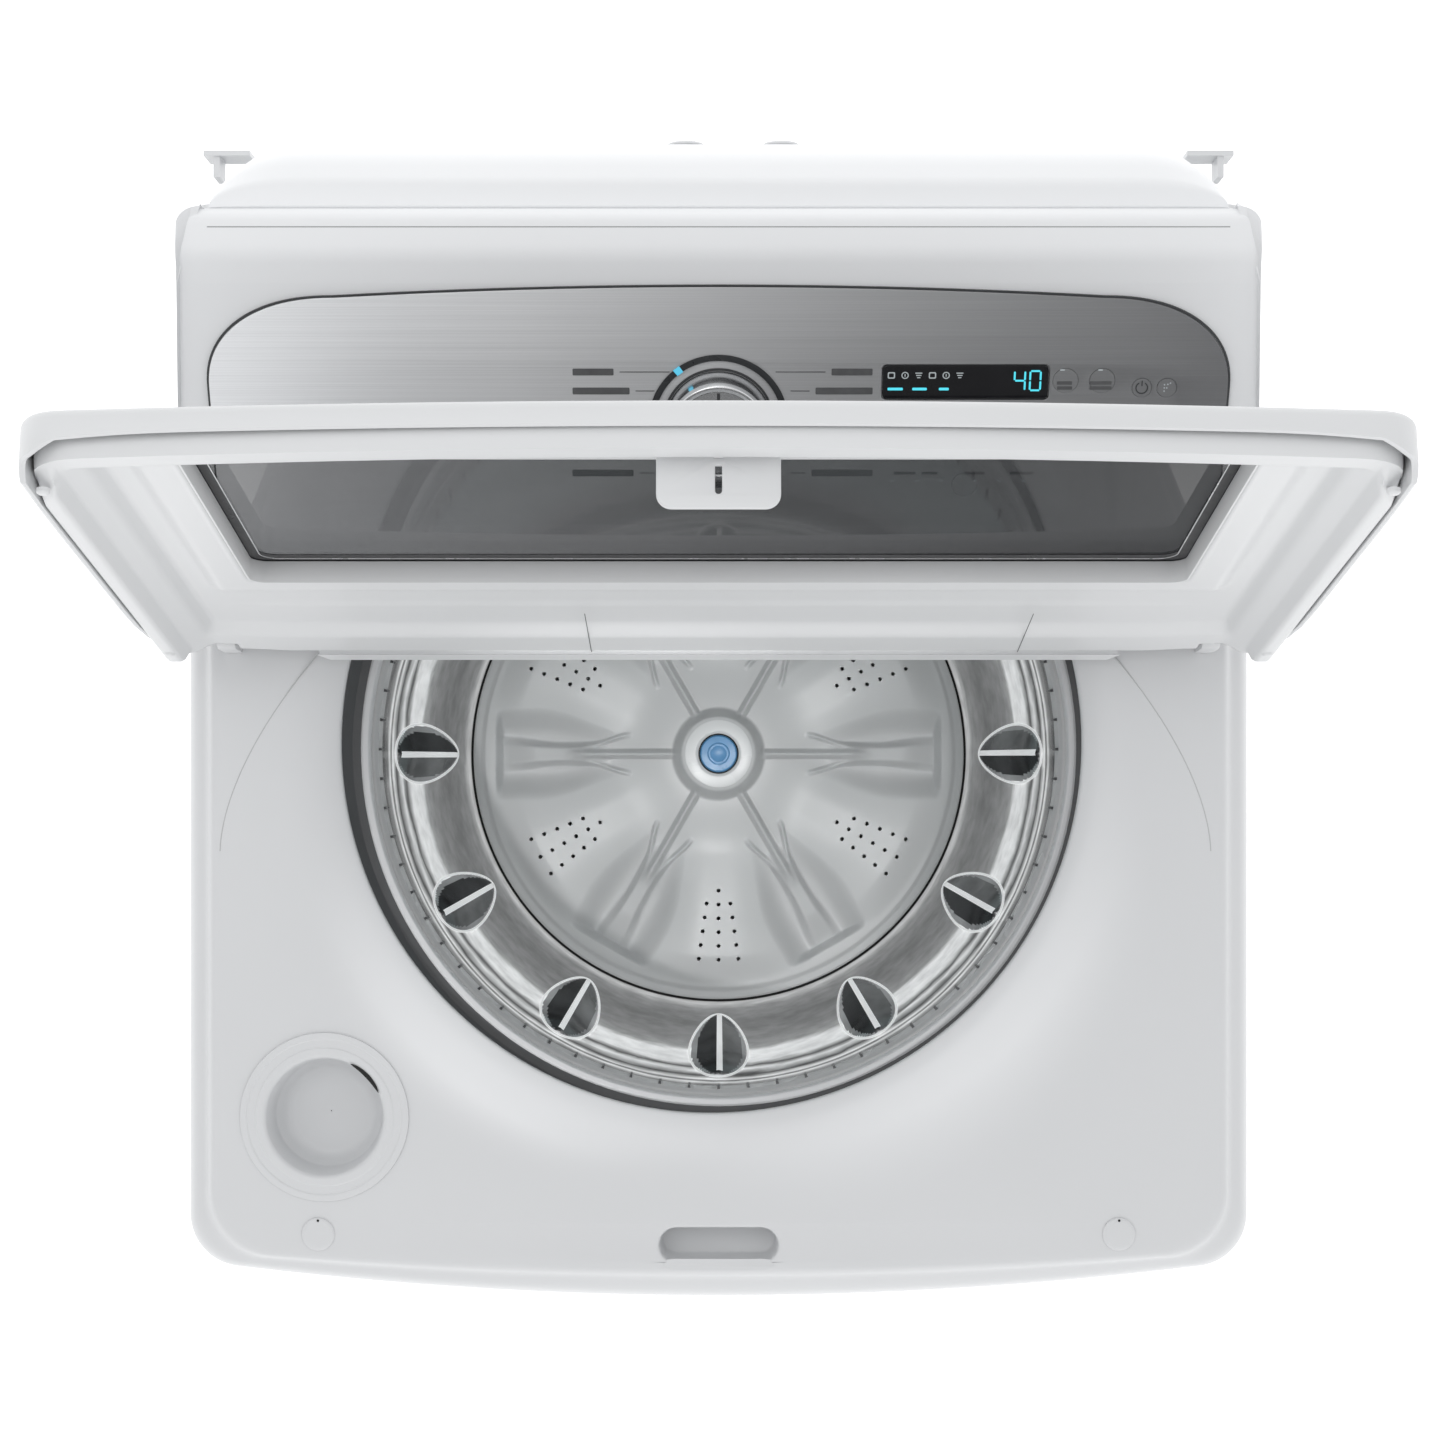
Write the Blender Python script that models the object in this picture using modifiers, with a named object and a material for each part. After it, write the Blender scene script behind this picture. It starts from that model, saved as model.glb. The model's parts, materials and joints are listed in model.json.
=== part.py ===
# Top load washing machine, lid open.  Metres, +Z up, +X to the machine's right as seen from the front, +Y to the rear.
# Origin: on the floor, below the middle of the body's box.  Every joint is at zero in this pose.
import bpy
import bmesh
from math import sin, cos, pi, radians, atan2, hypot
from mathutils import Matrix, Vector

# ---------------------------------------------------------------- driving dimensions
GAP = 0.0003            # clearance between pieces that touch

HALF_W = 0.343          # half the body width (27 in class)
FRONT_MID = -0.3715     # top cover's bowed front at the middle
FRONT_CORNER = -0.352   # and where it meets the rounded corners
REAR = 0.333            # rear of the cabinet and of the top cover
NOZZLE_TIP = 0.3715     # water inlets stand this far back

Z_FRAME = 0.022         # underside of the base frame
Z_CAB_TOP = 0.9545      # cabinet wrap's upper edge
Z_SHELF = 0.985         # lower ledge round the deck
Z_DECK = 1.000          # deck plateau
SHEET = 0.001           # cabinet steel
COVER_T = 0.003         # top cover's plastic wall

TUB_Y = -0.0163         # wash axis
OPEN_R = 0.2376         # loading opening in the deck
OPEN_REAR = 0.058       # where its circle is cut straight
TUB_R = 0.296
TUB_TOP = 0.955
RING_TOP = 0.970
BASKET_R = 0.2665
BASKET_TOP = 0.898
BALANCE_IN = 0.226
PULS_R = 0.2022
PULS_Z = 0.487          # rim of the pulsator
HUB_TOP = 0.535

HINGE_Y = 0.055         # lid hinge axis, along X
HINGE_Z = 1.020
LID_OPEN = 102.0        # degrees from shut to open
LID_FRONT_MID = -0.420  # lid local: shut, seen from the hinge axis
LID_FRONT_CORNER = -0.402

SLOPE = 26.2            # fascia tilt
FASCIA_Y = 0.1615       # middle of the fascia's face
FASCIA_Z = 1.0815
FASCIA_H = 0.2066       # length up the slope
FASCIA_T = 0.0025
KNOB_R = 0.032
KNOB_H = 0.022
KNOB_Y = 0.0203         # above the fascia's middle, up the slope

ROD_X = 0.272           # suspension rods
ROD_FRONT = -0.288
ROD_REAR = 0.256
EAR_Z = 0.430           # underside of the tub's spring seats
SPRING_Z0 = 0.335
FOOT_X = 0.290
FOOT_FRONT = -0.290
FOOT_REAR = 0.270

for ob in list(bpy.data.objects):
    bpy.data.objects.remove(ob, do_unlink=True)

PARTS = bpy.data.collections.new("top_load_washer")
CUTTERS = bpy.data.collections.new("cutters")
bpy.context.scene.collection.children.link(PARTS)
bpy.context.scene.collection.children.link(CUTTERS)

MATS = {}


def material(name, colour, rough, metal=0.0, alpha=1.0):
    if name in MATS:
        return MATS[name]
    m = bpy.data.materials.new(name)
    m.use_nodes = True
    b = m.node_tree.nodes["Principled BSDF"]
    b.inputs["Base Color"].default_value = (*colour, 1.0)
    b.inputs["Roughness"].default_value = rough
    b.inputs["Metallic"].default_value = metal
    b.inputs["Alpha"].default_value = alpha
    MATS[name] = m
    return m


WHITE_PLASTIC = ("white_plastic", (0.86, 0.87, 0.88), 0.32)
WHITE_PAINT = ("white_paint", (0.88, 0.88, 0.89), 0.28)
GALV = ("galvanised_steel", (0.60, 0.62, 0.63), 0.42, 1.0)
STEEL = ("polished_steel", (0.76, 0.77, 0.78), 0.15, 1.0)
BRUSHED = ("brushed_fascia", (0.47, 0.48, 0.49), 0.35, 1.0)
GREY_PLASTIC = ("grey_plastic", (0.62, 0.63, 0.64), 0.35)
TUB_PLASTIC = ("tub_plastic", (0.72, 0.74, 0.75), 0.5)
BLACK_PLASTIC = ("black_plastic", (0.03, 0.03, 0.035), 0.4)
BLACK_GLASS = ("black_glass", (0.01, 0.01, 0.012), 0.08)
GLASS = ("tinted_glass", (0.25, 0.26, 0.27), 0.03, 0.0, 0.35)
RUBBER = ("black_rubber", (0.04, 0.04, 0.04), 0.8)
BLUE = ("blue_plastic", (0.20, 0.45, 0.72), 0.3)
ALU = ("cast_aluminium", (0.58, 0.59, 0.60), 0.45, 1.0)
COPPER = ("copper_winding", (0.60, 0.28, 0.14), 0.35, 1.0)
CHROME = ("chrome", (0.80, 0.81, 0.82), 0.12, 1.0)
PCB = ("circuit_board", (0.05, 0.22, 0.10), 0.5)
RED = ("inlet_red", (0.75, 0.76, 0.77), 0.35)


def empty(name, loc, rot=(0, 0, 0)):
    e = bpy.data.objects.new(name, None)
    e.location = loc
    e.rotation_euler = rot
    PARTS.objects.link(e)
    return e


def place(ob, mat=None, loc=None, parent=None, collection=None):
    for c in list(ob.users_collection):
        c.objects.unlink(ob)
    (collection or PARTS).objects.link(ob)
    if loc is not None:
        ob.location = loc
    if parent is not None:
        ob.parent = parent
    if mat is not None:
        ob.data.materials.clear()
        ob.data.materials.append(material(*mat))
    return ob


def from_bmesh(name, bm):
    me = bpy.data.meshes.new(name)
    bmesh.ops.recalc_face_normals(bm, faces=bm.faces)
    bm.to_mesh(me)
    bm.free()
    return bpy.data.objects.new(name, me)


def smooth(ob, angle=35):
    ob.data.shade_smooth()
    ob.data.set_sharp_from_angle(angle=radians(angle))


def box(name, x, y, z):
    """A box between the two ends given on each axis."""
    bm = bmesh.new()
    bmesh.ops.create_cube(bm, size=1.0)
    for v in bm.verts:
        v.co = Vector(((x[0] + x[1]) / 2 + v.co.x * (x[1] - x[0]),
                       (y[0] + y[1]) / 2 + v.co.y * (y[1] - y[0]),
                       (z[0] + z[1]) / 2 + v.co.z * (z[1] - z[0])))
    return from_bmesh(name, bm)


def cyl(name, r, z0, z1, steps=20, centre=(0, 0), axis="Z", r2=None):
    """A cylinder from z0 to z1 along an axis, with centre in the other two."""
    bm = bmesh.new()
    bmesh.ops.create_cone(bm, cap_ends=True, segments=steps, radius1=r, radius2=r if r2 is None else r2,
                          depth=z1 - z0)
    bmesh.ops.translate(bm, verts=bm.verts, vec=(0, 0, (z0 + z1) / 2))
    if axis == "X":
        bmesh.ops.rotate(bm, verts=bm.verts, matrix=Matrix.Rotation(pi / 2, 3, "Y"))
        bmesh.ops.translate(bm, verts=bm.verts, vec=(0, centre[0], centre[1]))
    elif axis == "Y":
        bmesh.ops.rotate(bm, verts=bm.verts, matrix=Matrix.Rotation(-pi / 2, 3, "X"))
        bmesh.ops.translate(bm, verts=bm.verts, vec=(centre[0], 0, centre[1]))
    else:
        bmesh.ops.translate(bm, verts=bm.verts, vec=(centre[0], centre[1], 0))
    return from_bmesh(name, bm)


def lathe(name, profile, steps=32, closed=True, axis_rot=None):
    """A profile (radius, height) turned about the local Z axis; it runs down the outer side first."""
    bm = bmesh.new()
    vs = [bm.verts.new((r, 0, z)) for r, z in profile]
    for a, b in zip(vs, vs[1:]):
        bm.edges.new((a, b))
    if closed:
        bm.edges.new((vs[-1], vs[0]))
    me = bpy.data.meshes.new(name)
    bm.to_mesh(me)
    bm.free()
    ob = bpy.data.objects.new(name, me)
    m = ob.modifiers.new("turn", "SCREW")
    m.axis = "Z"
    m.angle = 2 * pi
    m.steps = steps
    m.render_steps = steps
    m.screw_offset = 0
    m.use_merge_vertices = True
    m.merge_threshold = 0.0001
    m.use_smooth_shade = True
    if axis_rot:
        ob.rotation_euler = axis_rot
    return ob


def prism(name, outline, z0, z1):
    """A flat outline, filled and extruded between two heights."""
    cu = bpy.data.curves.new(name, "CURVE")
    cu.dimensions = "2D"
    cu.fill_mode = "BOTH"
    cu.extrude = (z1 - z0) / 2
    sp = cu.splines.new("POLY")
    sp.points.add(len(outline) - 1)
    for p, (x, y) in zip(sp.points, outline):
        p.co = (x, y, 0, 1)
    sp.use_cyclic_u = True
    cob = bpy.data.objects.new(name + "_outline", cu)
    bpy.context.scene.collection.objects.link(cob)
    dg = bpy.context.evaluated_depsgraph_get()
    me = bpy.data.meshes.new_from_object(cob.evaluated_get(dg))
    bpy.data.objects.remove(cob, do_unlink=True)
    bpy.data.curves.remove(cu)
    bm = bmesh.new()
    bm.from_mesh(me)
    bmesh.ops.remove_doubles(bm, verts=bm.verts, dist=0.00005)
    bmesh.ops.translate(bm, verts=bm.verts, vec=(0, 0, (z0 + z1) / 2))
    bmesh.ops.recalc_face_normals(bm, faces=bm.faces)
    bm.to_mesh(me)
    bm.free()
    me.name = name
    return bpy.data.objects.new(name, me)


def profile_x(name, outline, x0, x1):
    """An outline in the YZ plane extruded along X."""
    ob = prism(name, outline, x0, x1)
    # outline (u, v) with height w becomes (w, u, v)
    ob.data.transform(Matrix(((0, 0, 1, 0), (1, 0, 0, 0), (0, 1, 0, 0), (0, 0, 0, 1))))
    return ob


def boolean(ob, other, op="DIFFERENCE", parent=None, loc=None):
    """Cut or join with another shape, which is kept as a hidden guide."""
    place(other, collection=CUTTERS, parent=parent, loc=loc)
    other.name = "cut_" + other.name
    other.hide_render = True
    other.display_type = "WIRE"
    m = ob.modifiers.new("cut", "BOOLEAN")
    m.operation = op
    m.object = other
    m.solver = "EXACT"
    return ob


def bevel(ob, width, segments=1, angle=35):
    m = ob.modifiers.new("edge", "BEVEL")
    m.width = width
    m.segments = segments
    m.limit_method = "ANGLE"
    m.angle_limit = radians(angle)
    return ob


def arc(cx, cy, rx, a0, a1, n, ry=None):
    ry = rx if ry is None else ry
    return [(cx + rx * cos(radians(a0 + (a1 - a0) * i / n)),
             cy + ry * sin(radians(a0 + (a1 - a0) * i / n))) for i in range(n + 1)]


def bowed_outline(half_w, mid, corner_y, rear, r, rear_r=0.004, inset=0.0, bow_n=8):
    """Plan outline with a bowed front and rounded front corners, counter-clockwise from the rear right."""
    hw, ry = half_w - inset, rear - inset
    m, c, rr = mid + inset, corner_y + inset, max(r - inset, 0.001)
    pts = arc(hw - rear_r, ry - rear_r, rear_r, 0, 90, 2)
    pts += arc(-hw + rear_r, ry - rear_r, rear_r, 90, 180, 2)
    left = arc(-hw + rr, c + rr, rr, 180, 262, 5)
    x1 = left[-1][0]
    front = []
    for i in range(1, bow_n):
        x = x1 + (-2 * x1) * i / bow_n
        front.append((x, m + (left[-1][1] - m) * (x / x1) ** 2))
    right = arc(hw - rr, c + rr, rr, 278, 360, 5)
    return pts + left + front + right


# ---------------------------------------------------------------- cabinet
def cabinet():
    # open U of sheet steel: rear flanges turned in, rounded front corners
    hw, fy, r = HALF_W - 0.0005, -0.3475, 0.034
    path = [(-0.318, REAR - 0.0025), (-hw, REAR - 0.0025)]
    path += arc(-hw + r, fy + r, r, 180, 270, 6)
    path += arc(hw - r, fy + r, r, 270, 360, 6)
    path += [(hw, REAR - 0.0025), (0.318, REAR - 0.0025)]
    bm = bmesh.new()
    vs = [bm.verts.new((x, y, Z_FRAME)) for x, y in path]
    es = [bm.edges.new((a, b)) for a, b in zip(vs, vs[1:])]
    top = bmesh.ops.extrude_edge_only(bm, edges=es)["geom"]
    bmesh.ops.translate(bm, verts=[g for g in top if isinstance(g, bmesh.types.BMVert)],
                        vec=(0, 0, Z_CAB_TOP - Z_FRAME))
    bmesh.ops.recalc_face_normals(bm, faces=bm.faces)
    # the outer side of the sheet faces away from the middle
    f = max(bm.faces, key=lambda f: -f.calc_center_median().y)
    if f.normal.y > 0:
        bmesh.ops.reverse_faces(bm, faces=bm.faces)
    me = bpy.data.meshes.new("cabinet_shell")
    bm.to_mesh(me)
    bm.free()
    ob = bpy.data.objects.new("cabinet_shell", me)
    s = ob.modifiers.new("sheet", "SOLIDIFY")
    s.thickness = SHEET
    s.offset = -1
    s.use_even_offset = True
    place(ob, WHITE_PAINT)


cabinet()

rear_panel = box("rear_panel", (-0.335, 0.335), (REAR - 0.0022, REAR - 0.0012), (0.060, 0.950))
boolean(rear_panel, cyl("drain_hole", 0.0155, 0.30, 0.36, 16, (-0.215, 0.880), "Y"))
boolean(rear_panel, cyl("cord_hole", 0.0085, 0.30, 0.36, 12, (0.240, 0.880), "Y"))
place(rear_panel, GALV)

base_frame = prism("base_frame", bowed_outline(0.3408, -0.3458, -0.3458, REAR - 0.0045, 0.034), Z_FRAME + GAP, 0.052)
boolean(base_frame, box("base_well", (-0.262, 0.262), (-0.262, 0.245), (0.0, 0.1)))
place(base_frame, GREY_PLASTIC)

for tag, fx, fy in (("fl", -FOOT_X, FOOT_FRONT), ("fr", FOOT_X, FOOT_FRONT),
                    ("rl", -FOOT_X, FOOT_REAR), ("rr", FOOT_X, FOOT_REAR)):
    boolean(base_frame, cyl("foot_hole_" + tag, 0.0062, 0.0, 0.1, 12, (fx, fy)))
    foot = lathe("levelling_foot_" + tag,
                 [(0, 0.048), (0.0050, 0.048), (0.0050, 0.0215), (0.013, 0.0215), (0.013, 0.012),
                  (0.021, 0.008), (0.021, 0.0), (0, 0.0)], 16, closed=False)
    place(foot, RUBBER, (fx, fy, 0))

# ---------------------------------------------------------------- top cover (deck)
def plateau(inset=0.0):
    return bowed_outline(0.322, -0.350, -0.3395, REAR, 0.040, inset=inset)


cover = prism("top_cover", bowed_outline(HALF_W, FRONT_MID, FRONT_CORNER, REAR, 0.034), Z_CAB_TOP + GAP, Z_SHELF)
boolean(cover, prism("deck_plateau", plateau(), 0.960, Z_DECK), "UNION")
boolean(cover, prism("deck_under", bowed_outline(HALF_W, FRONT_MID, FRONT_CORNER, REAR, 0.034, inset=COVER_T),
                     0.940, Z_SHELF - COVER_T))
boolean(cover, prism("plateau_under", plateau(COVER_T), 0.955, Z_DECK - COVER_T))


def d_outline(r, rear, n=36):
    a = asin_deg((rear - TUB_Y) / r)
    return [(r * cos(t), TUB_Y + r * sin(t)) for t in
            (radians(180 - a + (180 + 2 * a) * i / n) for i in range(n + 1))]


def asin_deg(v):
    from math import asin
    return asin(v) * 180 / pi


boolean(cover, prism("opening_lip", d_outline(OPEN_R + 0.0025, OPEN_REAR + 0.0025), 0.9845, 0.9985), "UNION")
boolean(cover, prism("loading_opening", d_outline(OPEN_R, OPEN_REAR), 0.93, 1.05))
BLEACH = (-0.251, -0.2513)
boolean(cover, cyl("bleach_hole", 0.0400, 0.95, 1.05, 24, BLEACH))
STRIKE_Y = -0.333


def stadium(half_len, r, y, n=6):
    return arc(half_len - r, y, r, -90, 90, n) + arc(-half_len + r, y, r, 90, 270, n)


boolean(cover, prism("striker_slot", stadium(0.038, 0.011, STRIKE_Y), 0.95, 1.05))
place(cover, WHITE_PLASTIC)

cup = lathe("bleach_cup", [(0.0538, Z_DECK + 0.0014), (0.0538, Z_DECK + GAP), (0.0390, Z_DECK + GAP),
                           (0.0380, 0.972), (0.0310, 0.9665), (0.0090, 0.9665), (0.0090, 0.9685),
                           (0.0300, 0.9685), (0.0355, 0.974), (0.0370, Z_DECK + 0.0010), (0.0395, Z_DECK + 0.0014)], 20)
place(cup, WHITE_PLASTIC, (*BLEACH, 0))

for side, sx in (("left", -1), ("right", 1)):
    b = lathe("lid_bumper_" + side, [(0, Z_DECK + 0.0062), (0.0070, Z_DECK + 0.0056), (0.0100, Z_DECK + 0.0040),
                                     (0.0108, Z_DECK + 0.0015), (0.0108, Z_DECK + GAP), (0, Z_DECK + GAP)], 18,
              closed=False)
    place(b, WHITE_PLASTIC, (sx * 0.255, -0.326, 0))

# lid lock under the striker slot, with its bolt's tunnel over the tub
lock = box("lid_lock_housing", (-0.046, 0.046), (-0.3465, -0.3195), (0.962, Z_DECK - COVER_T - GAP))
boolean(lock, box("lock_tunnel", (-0.020, 0.020), (-0.330, -0.285), (0.9868, Z_DECK - COVER_T - GAP)), "UNION")
boolean(lock, prism("lock_pocket", stadium(0.038, 0.011, STRIKE_Y), 0.966, 1.05))
boolean(lock, box("lock_channel", (-0.0032, 0.0032), (-0.3235, -0.2800), (0.9880, 0.9952)))
place(lock, BLACK_PLASTIC)
bolt = box("lock_bolt", (-0.0011, 0.0011), (-0.3222, -0.2890), (0.9885, 0.9945))
place(bolt, GALV)

# ---------------------------------------------------------------- console
TILT = empty("fascia_axis", (0, FASCIA_Y, FASCIA_Z), (radians(SLOPE), 0, 0))


def on_slope(y):
    """World height of the console's sloping wall below the fascia."""
    return FASCIA_Z + (y - FASCIA_Y) * sin(radians(SLOPE)) / cos(radians(SLOPE)) - (FASCIA_T + GAP) / cos(radians(SLOPE))


def console_outline(inset):
    t = inset
    return [(0.072 + t, Z_DECK + GAP - (0.02 if t else 0)), (0.302 - t, Z_DECK + GAP - (0.02 if t else 0)),
            (0.302 - t, 1.118 - t), (0.297 - t, 1.130 - t), (0.288, 1.133 - t), (0.262, 1.1315 - t * 1.1),
            (0.258, on_slope(0.258) + (0 if t == 0 else -t * 1.12)), (0.074 + t, on_slope(0.074) - t * 1.1),
            (0.072 + t, on_slope(0.074) - 0.001 - t * 1.1)]


console = profile_x("console_housing", console_outline(0), -1, 1)
inner = profile_x("console_inner", console_outline(0.0028), -1, 1)
for ob, t in ((console, 0), (inner, 0.0028)):
    for v in ob.data.vertices:
        k = min(max((v.co.z - Z_DECK) / 0.133, 0), 1)
        v.co.x = (1 if v.co.x > 0 else -1) * (0.3420 - 0.0280 * k ** 1.3 - t)
boolean(console, inner)
place(console, WHITE_PLASTIC)
boolean(console, cyl("knob_hole", 0.0055, -0.03, 0.02, 14, (0, KNOB_Y)), parent=TILT)


def fascia_outline(inset=0.0):
    w, b, t = 0.307 - inset, -FASCIA_H / 2 + inset, FASCIA_H / 2 - inset
    pts = arc(w - 0.008, b + 0.008, 0.008, -90, 0, 3)
    pts += arc(0.257, t - 0.062, w - 0.257, 0, 90, 8, 0.062)
    pts += arc(-0.257, t - 0.062, w - 0.257, 90, 180, 8, 0.062)
    pts += arc(-w + 0.008, b + 0.008, 0.008, 180, 270, 3)
    return pts


KEYS = {"power_button": (0.2540, 0.0416, 0.0058), "start_button": (0.2690, 0.0416, 0.0058),
        "option_button_1": (0.2080, 0.0460, 0.0075), "option_button_2": (0.2300, 0.0460, 0.0075),
        "option_button_3": (0.1500, -0.0200, 0.0075)}
DISPLAY = (0.1480, 0.0450, 0.0500, 0.0110)      # centre x, y, half length, half height

fascia = prism("console_fascia", fascia_outline(), -FASCIA_T, 0)
place(fascia, BRUSHED, parent=TILT)
boolean(fascia, cyl("fascia_knob_hole", 0.0055, -0.03, 0.02, 14, (0, KNOB_Y)), parent=TILT)
boolean(fascia, box("fascia_display_hole", (DISPLAY[0] - DISPLAY[2], DISPLAY[0] + DISPLAY[2]),
                    (DISPLAY[1] - DISPLAY[3], DISPLAY[1] + DISPLAY[3]), (-0.01, 0.01)), parent=TILT)
for key, (kx, ky, kr) in KEYS.items():
    boolean(fascia, cyl("hole_" + key, kr + 0.0004, -0.01, 0.01, 16, (kx, ky)), parent=TILT)
    cap = cyl(key, kr, -0.0010, 0.0010, 16)
    place(cap, GREY_PLASTIC, (kx, ky, 0), TILT)

lens = box("display_lens", (DISPLAY[0] - DISPLAY[2] + GAP, DISPLAY[0] + DISPLAY[2] - GAP),
           (DISPLAY[1] - DISPLAY[3] + GAP, DISPLAY[1] + DISPLAY[3] - GAP), (-FASCIA_T + GAP, 0.0003))
place(lens, BLACK_GLASS, parent=TILT)

ring = lathe("knob_ring", [(0.0421, 0.0011), (0.0421, GAP), (0.0380, GAP), (0.0380, 0.0011)], 32)
place(ring, BLACK_PLASTIC, (0, KNOB_Y, 0), TILT)

knob = lathe("selector_knob", [(0, KNOB_H), (0.0292, KNOB_H), (0.0312, KNOB_H - 0.002), (KNOB_R, 0.004), (KNOB_R, 0.0006),
                               (0.0048, 0.0006), (0.0048, -0.012), (0, -0.012)], 24, closed=False)
place(knob, CHROME, (0, KNOB_Y, 0), TILT)

board = box("control_board", (-0.150, 0.200), (-0.050, 0.060), (-0.0300, -0.0284))
place(board, PCB, parent=TILT)

# rear cover of the console, with rounded ends and a tunnel behind the top cover
def rear_cover_outline(t):
    if t == 0:
        return [(0.3028, 1.0010), (0.3345, 1.0010), (0.3345, 0.935), (0.3630, 0.935), (0.3630, 1.000),
                (0.3560, 1.055), (0.3420, 1.094), (0.3240, 1.116), (0.3180, 1.119), (0.3028, 1.119)]
    return [(0.2900, 1.0035), (0.3370, 1.0035), (0.3370, 0.900), (0.3605, 0.900), (0.3605, 0.9997),
            (0.3536, 1.0540), (0.3400, 1.0920), (0.3225, 1.1135), (0.3175, 1.1163), (0.2900, 1.1163)]


back = profile_x("console_rear_cover", rear_cover_outline(0), -0.312, 0.312)
back_in = profile_x("rear_cover_inner", rear_cover_outline(1), -0.3095, 0.3095)
for ob, grow in ((back, 0), (back_in, 1)):
    for v in ob.data.vertices:
        k = min(max((v.co.z - 1.0) / 0.119, 0), 1)
        v.co.x *= 1 - 0.03 * k
boolean(back, back_in)
for tag, vx in (("hot", -0.021), ("cold", 0.040)):
    boolean(back, cyl("inlet_hole_" + tag, 0.0135, 0.350, 0.380, 18, (vx, 0.985), "Y"))
place(back, WHITE_PLASTIC)

for tag, vx in (("hot", -0.021), ("cold", 0.040)):
    v = lathe("inlet_valve_" + tag, [(0.0085, 0.3715), (0.0120, 0.3715), (0.0130, 0.3700), (0.0130, 0.3590),
                                     (0.0180, 0.3590), (0.0180, 0.3390), (0.0040, 0.3390), (0.0040, 0.3560),
                                     (0.0085, 0.3560)], 14)
    v.rotation_euler = (-pi / 2, 0, 0)
    place(v, WHITE_PLASTIC if tag == "cold" else RED, (vx, 0, 0.985))

for side, sx in (("left", -1), ("right", 1)):
    clip = box("hose_clip_" + side, (0.3003, 0.3300), (0.3633, 0.3665), (0.965, 0.990))
    boolean(clip, box("clip_finger_" + side, (0.3200, 0.3240), (0.3500, 0.3660), (0.967, 0.988)), "UNION")
    if sx < 0:
        clip.data.transform(Matrix.Scale(-1, 4, (1, 0, 0)))
        clip.data.flip_normals()
        c = clip.modifiers[0].object
        c.data.transform(Matrix.Scale(-1, 4, (1, 0, 0)))
        c.data.flip_normals()
    place(clip, WHITE_PLASTIC)

# drain spigot and cord gland on the rear panel
drain = lathe("drain_outlet", [(0.0150, 0.3690), (0.0150, 0.3400), (0.0220, 0.3400), (0.0220, REAR - 0.0009),
                               (0.0150, REAR - 0.0009), (0.0150, 0.3150), (0.0120, 0.3150), (0.0120, 0.3690)], 18)
drain.rotation_euler = (-pi / 2, 0, 0)
place(drain, GREY_PLASTIC, (-0.215, 0, 0.880))
gland = lathe("cord_inlet", [(0.0060, 0.3500), (0.0120, 0.3460), (0.0120, REAR - 0.0009), (0.0080, REAR - 0.0009),
                             (0.0080, 0.3240), (0.0045, 0.3240), (0.0045, 0.3500)], 16)
gland.rotation_euler = (-pi / 2, 0, 0)
place(gland, BLACK_PLASTIC, (0.240, 0, 0.880))

# ---------------------------------------------------------------- lid hinge brackets
for side, sx in (("left", -1), ("right", 1)):
    x0, x1 = sorted((sx * 0.3030, sx * 0.3150))
    br = box("hinge_bracket_" + side, (x0, x1), (HINGE_Y - 0.0110, HINGE_Y + 0.0110), (Z_DECK + GAP, HINGE_Z + 0.0100))
    boolean(br, cyl("hinge_bore_" + side, 0.0044, -0.35, 0.35, 16, (HINGE_Y, HINGE_Z), "X"))
    place(br, WHITE_PLASTIC)

# ---------------------------------------------------------------- lid, modelled shut about its hinge axis
LID = empty("lid_axis", (0, HINGE_Y, HINGE_Z), (radians(-LID_OPEN), 0, 0))
WIN = (0.268, -0.380, -0.158)           # clear window: half width, front, rear


def lid_outline(inset=0.0, rear=0.006):
    return bowed_outline(HALF_W, LID_FRONT_MID, LID_FRONT_CORNER, rear, 0.034, inset=inset)


shell = prism("lid_shell", lid_outline(), -0.028, 0.006)
place(shell, WHITE_PLASTIC, parent=LID)
boolean(shell, prism("lid_hollow", lid_outline(0.008, 0.2), -0.05, -0.004), parent=LID)
boolean(shell, box("lid_front_trim", (-0.40, 0.40), (-0.50, -0.378), (-0.05, -0.016)), parent=LID)
boolean(shell, box("lid_rear_trim", (-0.40, 0.40), (-0.027, 0.05), (-0.05, -0.004)), parent=LID)
boolean(shell, box("lid_window", (-WIN[0], WIN[0]), (WIN[1], WIN[2]), (-0.05, 0.05)), parent=LID)
boolean(shell, box("glass_rebate", (-WIN[0] - 0.010, WIN[0] + 0.010), (WIN[1] - 0.008, WIN[2] + 0.010), (0.0010, 0.05)),
        parent=LID)
for sx in (-1, 1):
    x0, x1 = sorted((sx * 0.3000, sx * 0.40))
    boolean(shell, box("hinge_notch_%d" % sx, (x0, x1), (-0.022, 0.05), (-0.05, 0.05)), parent=LID)

liner = prism("lid_liner", bowed_outline(HALF_W - 0.0083, LID_FRONT_MID + 0.0083, LID_FRONT_CORNER + 0.0083, -0.0223,
                                         0.026, rear_r=0.010), -0.012, -0.0043)
place(liner, WHITE_PLASTIC, parent=LID)
boolean(liner, prism("liner_tray", bowed_outline(0.318, -0.398, -0.388, -0.060, 0.030, rear_r=0.030), -0.05, -0.0090),
        parent=LID)
boolean(liner, box("liner_frame", (-0.292, 0.292), (-0.392, -0.100), (-0.0125, -0.0060)), "UNION", parent=LID)
boolean(liner, box("liner_window", (-WIN[0] + 0.002, WIN[0] - 0.002), (WIN[1] + 0.001, WIN[2] - 0.002), (-0.05, 0.05)),
        parent=LID)

glass = box("lid_glass", (-WIN[0] - 0.0095, WIN[0] + 0.0095), (WIN[1] - 0.0075, WIN[2] + 0.0095), (0.0013, 0.0055))
place(glass, GLASS, parent=LID)

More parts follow.
